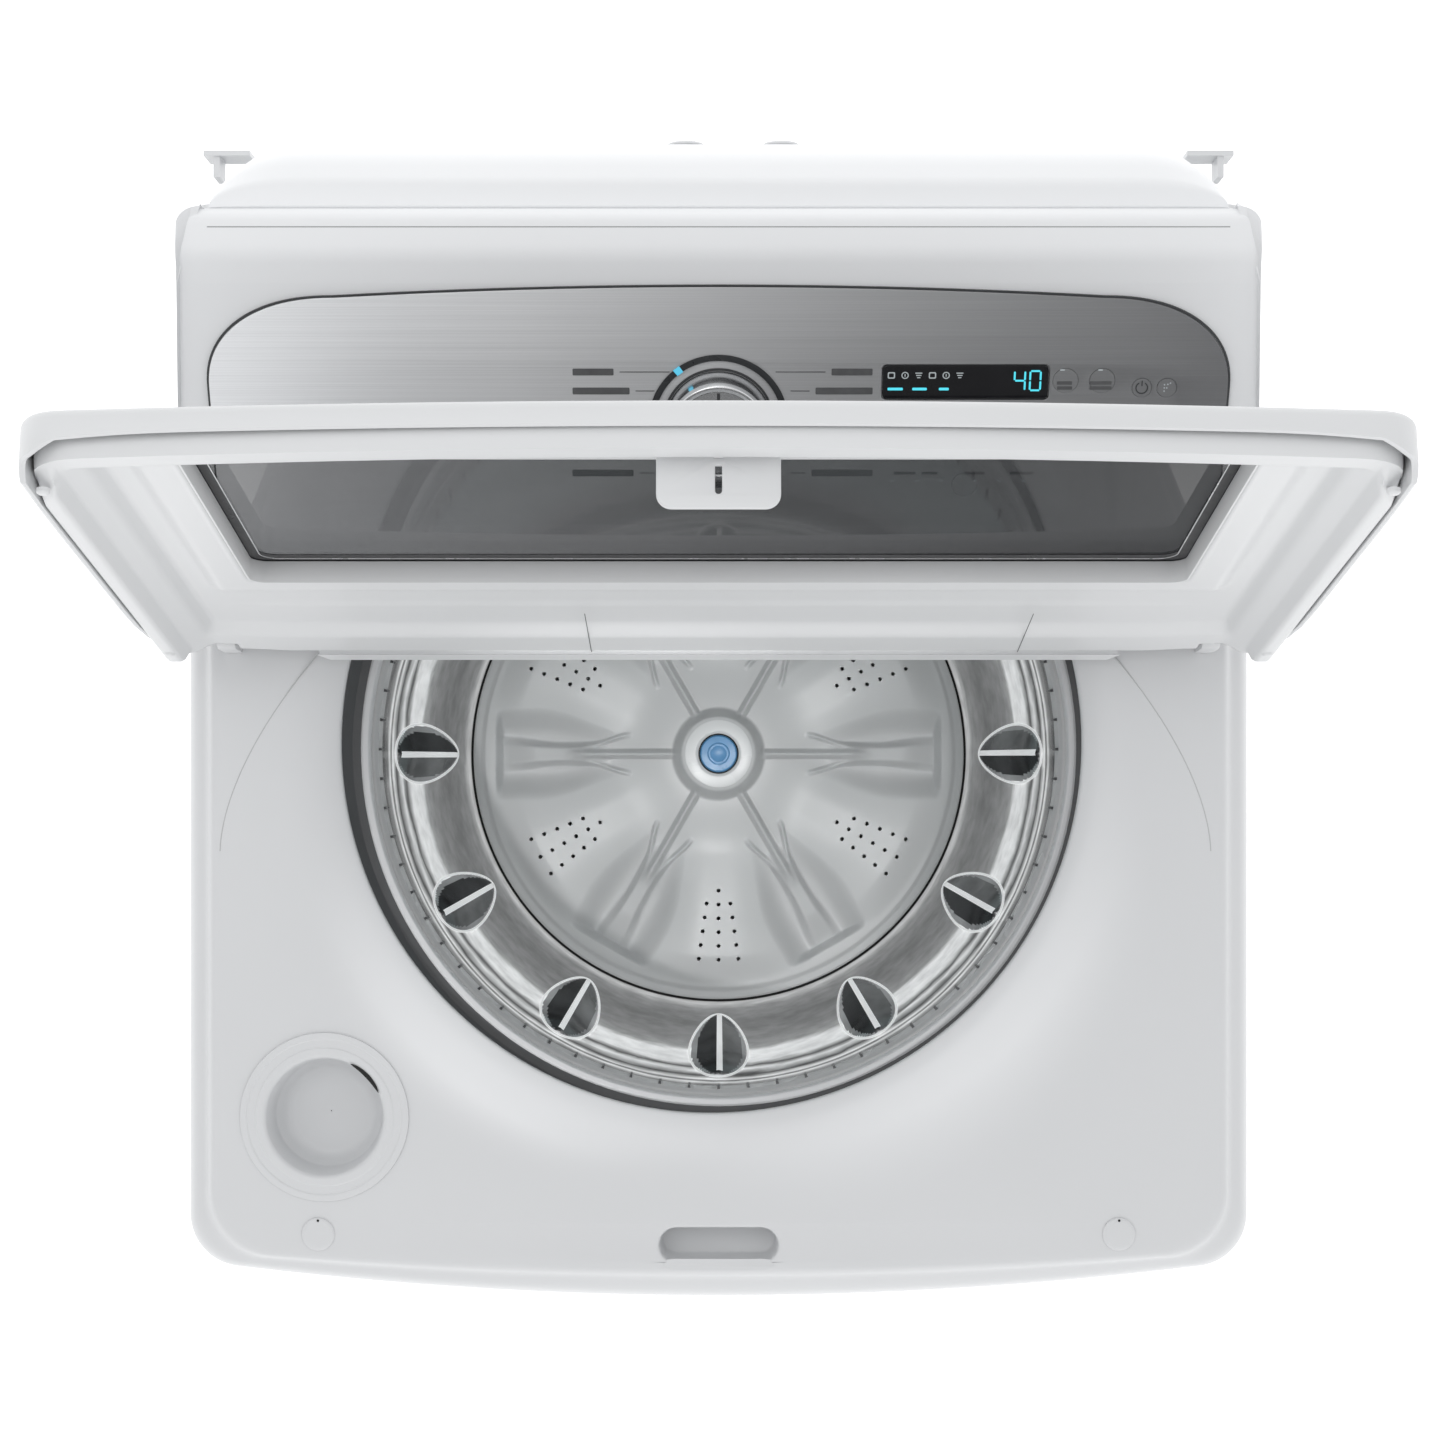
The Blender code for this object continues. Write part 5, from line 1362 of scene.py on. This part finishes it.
lines = []
for side in (-1, 1):
    rows = [(372, 573, 614, 620, 670), (391, 573, 630, 636, 655), (452, 573, 606, 612, 645), (473, 573, 634, 640, 655)]
    for py, a, b, c, e in rows:
        if side == 1:
            a, b, c, e = 1442 - e + 4, 1442 - c + 4, 1442 - b + 4, 1442 - a + 4
            a, b, c, e = 857 - (b - a) if False else a, b, c, e
        (xa, ya), (xb, yb) = fascia_at(a, py), fascia_at(b, py)
        (xc, yc), (xe, ye) = fascia_at(c, py), fascia_at(e, py)
        if side == -1:
            lines.append(bar((xa + xb) / 2, ya, xb - xa, 0.0042, 0.0006))
            lines.append(bar((xc + xe) / 2, yc, xe - xc, 0.0005, 0.0001))
        else:
            lines.append(bar((xa + xb) / 2, ya, xb - xa, 0.0005, 0.0001))
            lines.append(bar((xc + xe) / 2, yc, xe - xc, 0.0042, 0.0006))
flat("programme_marks", lines, "ink_grey", z=0.00002)
small = []
for px, py, w in ((1065, 383, 15), (1101, 383, 22), (1065, 388, 15), (1101, 388, 22)):
    x, y = fascia_at(px, py)
    small.append(bar(x, y, w / s_px, 0.0020, 0.0004))
for px, w in ((905, 22), (930, 16), (975, 20), (1022, 24)):
    x, y = fascia_at(px, 473)
    small.append(bar(x, y, w / s_px, 0.0018, 0.0004))
flat("option_marks", small, "ink_grey", z=0.00009)
leds = []
for px, py in ((1063, 370), (1101, 370), (893, 481), (918, 481), (941, 481), (975, 481), (1000, 481), (1024, 481)):
    x, y = fascia_at(px, py)
    leds.append(bar(x, y, 0.0028, 0.0009, 0.0003))
flat("led_marks", leds, "pale_icon", z=0.00009)
# power mark: open ring and bar; start mark: dots
px_, py_, pr_ = KEYS["power_button"]
ring_pts = [(px_ + 0.0038 * math.cos(math.radians(a)), py_ + 0.0038 * math.sin(math.radians(a))) for a in np.linspace(120, 420, 30)]
ring_in = [(px_ + 0.0031 * math.cos(math.radians(a)), py_ + 0.0031 * math.sin(math.radians(a))) for a in np.linspace(420, 120, 30)]
flat("power_mark", [ring_pts + ring_in, bar(px_, py_ + 0.0028, 0.0007, 0.0034)], "ink", "power_button", z=0.00008)
sx_, sy_, sr_ = KEYS["start_button"]
flat("start_mark", [circle(sx_ + dx, sy_ + dy, 0.00045, 10) for dx, dy in
                    ((-0.0015, 0.002), (-0.0015, 0), (-0.0015, -0.002), (0.0005, 0.0022), (0.002, 0.003), (0.0, 0.0))],
     "pale_icon", "start_button", z=0.00008)

# ------------------------------------------------------------------ lid, drawn shut about its hinge axis
LW, LF, LC = 0.3430, -0.4200, -0.4060
WIN = (0.268, -0.380, -0.158)


def lid_outline(inset=0.0, rear=0.006, rear_r=0.006, r=0.024):
    return bowed(LW, LF, LC, rear, r, rear_r=rear_r, inset=inset)


def ring_of(outline, z):
    return [(x, y, z) for x, y in outline]


def build_lid_shell():
    """Outer shell: crowned top, rounded rim and a skirt that is deep along the sides."""
    o = lid_outline
    base = o()
    depth = []
    for x, y in base:
        if y > -0.027:
            dz = -0.0040
        elif abs(x) > 0.325 and y > LC + 0.030:
            dz = -0.0275
        else:
            k = min(max((abs(x) - 0.290) / 0.045, 0), 1)
            front = -0.0085 - 0.019 * (k ** 3) * (1 if y > LC + 0.02 else 0.45)
            dz = front
        depth.append(dz)
    depth = np.array(depth)
    # smooth changes along the loop except at the square ends by the hinge
    for _ in range(3):
        sm = (np.roll(depth, 1) + depth + np.roll(depth, -1)) / 3
        depth = np.where(np.array([p[1] for p in base]) > -0.035, depth, sm)
    rings = []
    for inset, z in ((0.0090, 0.0058), (0.0050, 0.0054), (0.0022, 0.0043), (0.0006, 0.0026), (0.0, 0.0004)):
        rings.append([(x, y, z) for x, y in o(inset)])
    rings.append([(x, y, min(-0.0008, dz + 0.0030)) for (x, y), dz in zip(base, depth)])
    rings.append([(x, y, min(-0.0016, dz + 0.0008)) for (x, y), dz in zip(o(0.0005), depth)])
    rings.append([(x, y, min(-0.0020, dz)) for (x, y), dz in zip(o(0.0020), depth)])
    inner = o(0.0034)
    rings.append([(x, y, min(-0.0018, dz + 0.0006)) for (x, y), dz in zip(inner, depth)])
    rings.append([(x, y, -0.0010) for x, y in inner])
    win_t = rounded_rect(-WIN[0] - 0.0100, WIN[0] + 0.0100, WIN[1] - 0.008, WIN[2] + 0.010, 0.012, 8)
    win_b = rounded_rect(-WIN[0] + 0.0, WIN[0] - 0.0, WIN[1], WIN[2], 0.010, 8)
    top = fill([(p[0], p[1]) for p in rings[0]], [win_t[::-1]], 0.0058)
    bot = fill([(p[0], p[1]) for p in rings[-1]], [win_b[::-1]], -0.0010)
    step = fill(win_t, [win_b[::-1]], 0.0010)
    parts = [strips(rings), top, bot, step, strips([ring_of(win_t, 0.0058), ring_of(win_t, 0.0010)]),
             strips([ring_of(win_b, 0.0010), ring_of(win_b, -0.0010)])]
    bm = merge(parts)
    return bm_object("lid_outer_moulding", bm, "white_lid", "lid", "lid_shell", LID_M, angle=40)


build_lid_shell()


def build_lid_liner():
    """Inner side: raised front rim, side rails, sunk tray, and a raised frame round the window."""
    nx, ny = 300, 220
    hw = LW - 0.0037
    xs = np.linspace(-hw, hw, nx)
    rear_y = -0.004

    def front_at(x):
        # follows the shell's bowed front less the wall
        t = np.clip(np.abs(x) / 0.312, 0, 1)
        return LF + 0.0042 + 0.0165 * t ** 2
    X = np.repeat(xs[:, None], ny, 1)
    F = front_at(X) - 0.0005
    corner = 0.030
    ax = np.abs(X)
    over = np.clip(ax - (hw - corner), 0, corner)
    F = F + corner - np.sqrt(np.maximum(corner ** 2 - over ** 2, 0))
    t = np.linspace(0, 1, ny)
    Y = F + (rear_y - F) * t[None, :]
    dist_front = (Y - F)
    dist_side = hw - np.abs(X)
    d = np.minimum(dist_front, dist_side)
    z = np.full_like(X, -0.0120)
    # rolled rim along the front, side rails, and the tray sunk between them
    rim_front = 1 - smoothstep(dist_front, 0.018, 0.0235)
    rail = 1 - smoothstep(dist_side, 0.0120, 0.0290)
    tray = smoothstep(dist_side, 0.0250, 0.0310) * smoothstep(dist_front, 0.0235, 0.0270) * (1 - smoothstep(Y, -0.058, -0.040))
    z = z + 0.0062 * tray
    z = z - 0.0056 * rim_front
    ends = smoothstep(dist_front, 0.004, 0.030) * (1 - smoothstep(Y, -0.036, -0.024))
    z = z - 0.0062 * rail * (1 - rim_front)
    z = z - 0.0088 * smoothstep(ax, 0.3250, 0.3290) * ends
    # raised frame round the window
    fx = smoothstep(ax, WIN[0] + 0.018, WIN[0] + 0.030)
    fy = np.maximum(smoothstep(-Y, 0.3835, 0.3890), smoothstep(Y, -0.142, -0.118))
    frame_k = (1 - fx) * (1 - fy)
    z = z - 0.0052 * frame_k * tray
    # lower panel, a little proud, over the hinge edge
    low = smoothstep(Y, -0.102, -0.090) * (1 - smoothstep(ax, 0.262, 0.300))
    z = z - 0.0012 * low
    # outer faces roll back into the shell
    z = z + 0.0145 * (1 - smoothstep(dist_front, 0.0, 0.0038)) ** 2
    z = z + 0.0020 * (1 - smoothstep(dist_side, 0.0, 0.0030)) ** 2 * (1 - rim_front)
    # hinge edge roll
    z = z + 0.0060 * smoothstep(Y, -0.0120, rear_y) ** 2
    # notch corners round the hinge brackets
    verts = np.stack([X, Y, z], -1).reshape(-1, 3)
    idx = np.arange(nx * ny).reshape(nx, ny)
    a, b, c, e = idx[:-1, :-1], idx[1:, :-1], idx[1:, 1:], idx[:-1, 1:]
    quads = np.stack([a, b, c, e], -1).reshape(-1, 4)
    cen = verts[quads].mean(1)
    in_win = (np.abs(cen[:, 0]) < WIN[0] - 0.0) & (cen[:, 1] > WIN[1]) & (cen[:, 1] < WIN[2])
    notch = (np.abs(cen[:, 0]) > 0.2990) & (cen[:, 1] > -0.0230)
    keep = quads[~in_win & ~notch]
    me = bpy.data.meshes.new("lid_inner_moulding")
    me.from_pydata([tuple(v) for v in verts], [], [tuple(q) for q in keep])
    ob = bpy.data.objects.new("lid_inner_moulding", me)
    bm = bmesh.new()
    bm.from_mesh(me)
    loose = [v for v in bm.verts if not v.link_faces]
    bmesh.ops.delete(bm, geom=loose, context="VERTS")
    # pull the window's edge onto a clean rounded rectangle
    r = 0.010
    for v in bm.verts:
        if v.is_boundary:
            x, y = v.co.x, v.co.y
            if abs(x) < WIN[0] + 0.006 and WIN[1] - 0.006 < y < WIN[2] + 0.006:
                px = min(max(x, -WIN[0] + r), WIN[0] - r)
                py = min(max(y, WIN[1] + r), WIN[2] - r)
                dx, dy = x - px, y - py
                if abs(dx) > 1e-9 and abs(dy) > 1e-9:
                    length = math.hypot(dx, dy)
                    v.co.x, v.co.y = px + dx / length * r, py + dy / length * r
                elif abs(dx) > 1e-9:
                    v.co.x = px + math.copysign(r, dx)
                elif abs(dy) > 1e-9:
                    v.co.y = py + math.copysign(r, dy)
                v.co.z = -0.0118
    bmesh.ops.recalc_face_normals(bm, faces=bm.faces)
    up = sum(f.normal.z * f.calc_area() for f in bm.faces)
    if up > 0:
        bmesh.ops.reverse_faces(bm, faces=bm.faces)
    bm.to_mesh(me)
    bm.free()
    me.transform(LID_M)
    finish_object(ob, "white_lid", "lid", "lid_liner", angle=55)
    solidify(ob, 0.0016)
    return ob


build_lid_liner()

# window lip between liner and glass, dark border and pane
win_out = rounded_rect(-WIN[0] + 0.0002, WIN[0] - 0.0002, WIN[1] + 0.0002, WIN[2] - 0.0002, 0.0100, 10)
win_in = rounded_rect(-WIN[0] + 0.0014, WIN[0] - 0.0014, WIN[1] + 0.0014, WIN[2] - 0.0014, 0.0088, 10)
slab("window_lip", win_out, -0.0122, 0.0008, "white_lid", "lid", matrix=LID_M, edge=0.0004, seg=2, holes=[win_in[::-1]])
border_out = rounded_rect(-WIN[0] - 0.0080, WIN[0] + 0.0080, WIN[1] - 0.0060, WIN[2] + 0.0080, 0.010, 10)
border_in = rounded_rect(-WIN[0] + 0.0072, WIN[0] - 0.0072, WIN[1] + 0.0020, WIN[2] - 0.0125, 0.0110, 10)
slab("glass_dark_border", border_out, 0.0011, 0.0015, "border_black", "lid", matrix=LID_M, holes=[border_in[::-1]])
line_out = rounded_rect(-WIN[0] + 0.0070, WIN[0] - 0.0070, WIN[1] - 0.0010, WIN[2] - 0.0050, 0.0112, 10)
line_in = rounded_rect(-WIN[0] + 0.0076, WIN[0] - 0.0076, WIN[1] - 0.0004, WIN[2] - 0.0056, 0.0106, 10)
slab("glass_silver_line", line_out, 0.0009, 0.00115, "silver_line", "lid", matrix=LID_M, holes=[line_in[::-1]])
slab("glass_pane", rounded_rect(-WIN[0] - 0.0092, WIN[0] + 0.0092, WIN[1] - 0.0072, WIN[2] + 0.0092, 0.011, 8),
     0.0017, 0.0056, "glass", "lid", "lid_glass", LID_M, edge=0.0006, seg=2)


def build_striker():
    s_lo, s_hi = lohi("lid_striker")
    w, top, bot, r = 0.0305, -0.0118, -0.0405, 0.0075
    outline = [(-w, top), (-w, bot + r)] + arc(-w + r, bot + r, r, 180, 270, 8)[1:] + arc(w - r, bot + r, r, 270, 360, 8) + [(w, top)]
    slot = ([(-0.0017, -0.0185), (-0.0017, -0.0315)] + arc(0, -0.0315, 0.0017, 180, 360, 8)[1:-1] +
            [(0.0017, -0.0315), (0.0017, -0.0185)])
    hole2 = rounded_rect(-0.0022, 0.0022, -0.0150, -0.0128, 0.0003, 2)
    # outline is in (x, z); turned so that the plate's thickness runs along y
    turn = Matrix(((1, 0, 0, 0), (0, 0, 1, -0.3880), (0, 1, 0, 0), (0, 0, 0, 1)))
    ol = outline if signed_area(outline) > 0 else outline[::-1]
    sl = slot if signed_area(slot) < 0 else slot[::-1]
    h2 = hole2 if signed_area(hole2) < 0 else hole2[::-1]
    ob = slab("striker_tab", ol, -0.0018, 0.0018, "white_lid", "lid", "lid_striker", LID_M @ turn, edge=0.0009, seg=3,
              holes=[sl, h2])
    closed_normals(ob)


build_striker()

# small round bumps on the side rails, and the hinge edge's drip lip with its seams
for sx in (-1, 1):
    for ly in (-0.372, -0.055):
        prof = [(0, -0.0284, 0), (0.0022, -0.0282, 0.002), (0.0034, -0.0272, 0.001), (0.0034, -0.0250, 0), (0, -0.0250, 0)]
        v, f = lathe_mesh(open_profile(prof, 4), 32, False, (sx * 0.3335, ly))
        ob = new_object("rail_bump_%s_%d" % ("l" if sx < 0 else "r", int(-ly * 1000)), v, f, "white_lid", "lid", (), LID_M)
        closed_normals(ob)
lip = [(-0.250, -0.0060), (-0.244, 0.0052), (0.244, 0.0052), (0.250, -0.0060)]
slab("hinge_drip_lip", lip, -0.0150, -0.0115, "white_lid", "lid", matrix=LID_M, edge=0.0010, seg=2)
seams = []
for x in (-0.0795, 0.187):
    seams.append(bar(x, -0.052, 0.0005, 0.090, 0.0001))
flat("liner_seams", seams, "ink_grey", "lid", z=-0.01335, t=0.0001, matrix=LID_M)

# ------------------------------------------------------------------ hinge brackets, inlets, clips, back of the cabinet
for side, sx in (("left", -1), ("right", 1)):
    h_lo, h_hi = lohi("hinge_bracket_" + side)
    pts = arc(HINGE.y, HINGE.z, 0.0098, 0, 180, 16) + [(HINGE.y - 0.0108, Z_DECK + 0.0006), (HINGE.y + 0.0108, Z_DECK + 0.0006)]
    turn = Matrix(((0, 0, 1, float(h_lo[0] + h_hi[0]) / 2), (1, 0, 0, 0), (0, 1, 0, 0), (0, 0, 0, 1)))
    ol = pts if signed_area(pts) > 0 else pts[::-1]
    hole = circle(HINGE.y, HINGE.z, 0.0044, 24)[::-1]
    ob = slab("hinge_ear_" + side, ol, -0.0058, 0.0058, "white_plastic", "cabinet", "hinge_bracket_" + side, turn, edge=0.0008,
              seg=2, holes=[hole])
    closed_normals(ob)

for tag in ("hot", "cold"):
    v_lo, v_hi = lohi("inlet_valve_" + tag)
    cx, cz = float(v_lo[0] + v_hi[0]) / 2, float(v_lo[2] + v_hi[2]) / 2
    y0, y1 = float(v_lo[1]), float(v_hi[1])
    pts = [(0.0088, 0, 0), (0.0088, y1 - y0, 0), (0.0112, y1 - y0, 0.0006)]
    z = y1 - y0 - 0.0012
    while z > 0.0205:
        pts += [(0.0129, z, 0.0), (0.0129, z - 0.0007, 0.0), (0.0119, z - 0.0012, 0.0), (0.0119, z - 0.0016, 0.0)]
        z -= 0.0024
    pts += [(0.0128, 0.0195, 0), (0.0128, 0.0188, 0), (0.0178, 0.0186, 0.001), (0.0178, 0.0002, 0.001)]
    v, f = lathe_mesh(rounded_profile(pts, 3), 56, True)
    turn = Matrix.Translation((cx, y0, cz)) @ Matrix.Rotation(-PI / 2, 4, "X")
    ob = new_object("inlet_" + tag, v, f, "white_plastic", "cabinet", "inlet_valve_" + tag, turn)
    closed_normals(ob)

for node, mat in (("cabinet_shell", "white_paint"), ("rear_panel", "galv"), ("base_frame", "grey_plastic"),
                  ("lid_lock_housing", "white_plastic"), ("control_board", "pcb"), ("hose_clip_left", "white_plastic"),
                  ("hose_clip_right", "white_plastic"), ("drain_outlet", "grey_plastic"), ("cord_inlet", "black_plastic"),
                  ("drain_pump", "grey_plastic"), ("outer_tub", "tub"), ("gearcase", "aluminium"),
                  ("motor_stator", "copper"), ("basket_hub", "aluminium"), ("drive_shaft", "galv"), ("motor_rotor", "galv"),
                  ("lock_bolt", "galv"), ("lid_hinge_pin_left", "galv"), ("lid_hinge_pin_right", "galv"),
                  ("suspension_rod_fl", "galv"), ("suspension_rod_fr", "galv"), ("suspension_rod_rl", "galv"),
                  ("suspension_rod_rr", "galv"), ("suspension_spring_fl", "galv"), ("suspension_spring_fr", "galv"),
                  ("suspension_spring_rl", "galv"), ("suspension_spring_rr", "galv"), ("levelling_foot_fl", "rubber"),
                  ("levelling_foot_fr", "rubber"), ("levelling_foot_rl", "rubber"), ("levelling_foot_rr", "rubber")):
    ob = frame["nodes"][node]
    if not ob.material_slots:
        ob.data.materials.append(M[mat])
    for s in ob.material_slots:
        s.material = M[mat]

# ------------------------------------------------------------------ pressed ribs and screws of the rear panel
p_lo, p_hi = lohi("rear_panel")
PANEL_Y = float(p_hi[1])
REAR_M = Matrix.Translation((0, PANEL_Y, 0)) @ Matrix.Rotation(-PI / 2, 4, "X")
for i, (x0, x1, z0, z1) in enumerate(((-0.270, 0.270, 0.130, 0.152), (-0.270, 0.270, 0.330, 0.352),
                                      (-0.270, 0.270, 0.530, 0.552), (-0.270, 0.270, 0.730, 0.752))):
    slab("rear_rib_%d" % i, rounded_rect(x0, x1, -z1, -z0, 0.0108, 6), -0.0002, 0.0009, "galv", "cabinet", matrix=REAR_M,
         edge=0.0007, angle=60)
for i, (sx, sz) in enumerate((a, b) for a in (-0.322, 0.322) for b in (0.085, 0.360, 0.640, 0.925)):
    slab("rear_screw_%d" % i, circle(sx, -sz, 0.0052, 20), -0.0002, 0.0011, "galv", "cabinet", matrix=REAR_M,
         edge=0.0008, angle=60, holes=[bar(sx, -sz, 0.0058, 0.0012)])

# ------------------------------------------------------------------ stage
me = bpy.data.meshes.new("studio_floor")
me.from_pydata([(-9, -9, -0.0005), (9, -9, -0.0005), (9, 9, -0.0005), (-9, 9, -0.0005)], [], [(0, 1, 2, 3)])
floor = bpy.data.objects.new("studio_floor", me)
bpy.context.scene.collection.objects.link(floor)
fm, fb = principled("pale_floor", (0.90, 0.90, 0.90), 0.9)
fb.inputs["Emission Color"].default_value = (1, 1, 1, 1)
fb.inputs["Emission Strength"].default_value = 0.55
floor.data.materials.append(fm)

world = bpy.data.worlds.new("studio")
bpy.context.scene.world = world
world.use_nodes = True
bg = world.node_tree.nodes["Background"]
bg.inputs["Strength"].default_value = 1.01
wt = world.node_tree
wc = wt.nodes.new("ShaderNodeTexCoord")
wsep = wt.nodes.new("ShaderNodeSeparateXYZ")
wt.links.new(wc.outputs["Generated"], wsep.inputs["Vector"])
wr = wt.nodes.new("ShaderNodeValToRGB")
we = wr.color_ramp.elements
we[0].position, we[0].color = 0.0, (1.0, 1.0, 1.0, 1)
we[1].position, we[1].color = 1.0, (0.86, 0.865, 0.87, 1)
for pos, c in ((0.12, 0.98), (0.35, 0.80), (0.60, 0.84), (0.80, 0.80)):
    k = we.new(pos)
    k.color = (c, c * 1.005, c * 1.012, 1)
wt.links.new(wsep.outputs["Z"], wr.inputs["Fac"])
wt.links.new(wr.outputs["Color"], bg.inputs["Color"])


def area(name, loc, target, size, power, size_y=None):
    d = bpy.data.lights.new(name, "AREA")
    d.energy = power
    d.size = size
    if size_y:
        d.shape = "RECTANGLE"
        d.size_y = size_y
    o = bpy.data.objects.new(name, d)
    o.location = loc
    o.rotation_euler = (Vector(target) - Vector(loc)).to_track_quat("-Z", "Y").to_euler()
    bpy.context.scene.collection.objects.link(o)
    return o


area("key_light", (-0.7, 0.7, 3.6), (0, -0.05, 0.9), 1.4, 9)
area("front_light", (0.5, -2.6, 1.9), (0, 0, 1.15), 1.6, 8)
area("rear_light", (0.0, 2.6, 2.6), (0, 0.25, 1.1), 1.6, 3)


def tub_spot(name, loc, target, angle, power, radius):
    d = bpy.data.lights.new(name, "SPOT")
    d.energy = power
    d.spot_size = math.radians(angle)
    d.spot_blend = 0.35
    d.shadow_soft_size = radius
    o = bpy.data.objects.new(name, d)
    o.location = loc
    o.rotation_euler = (Vector(target) - Vector(loc)).to_track_quat("-Z", "Y").to_euler()
    bpy.context.scene.collection.objects.link(o)


tub_spot("tub_light", (-0.32, -0.42, 3.4), (OPEN_X - 0.058, TY - 0.078, 1.0), 8.4, 78, 0.03)
tub_spot("tub_fill", (0.40, -0.12, 3.4), (OPEN_X + 0.066, TY - 0.082, 1.0), 8.4, 50, 0.05)

cam_d = bpy.data.cameras.new("camera")
cam_d.lens = 67.93
cam_d.sensor_width = 36.0
cam_d.shift_x = 0.0017
cam_d.shift_y = 0.0374
cam = bpy.data.objects.new("camera", cam_d)
cam.location = (0.0, -0.0335, 2.733)
cam.rotation_euler = (0, 0, 0)
bpy.context.scene.collection.objects.link(cam)
bpy.context.scene.camera = cam
bpy.context.scene.view_settings.view_transform = "Standard"

bpy.context.view_layer.update()
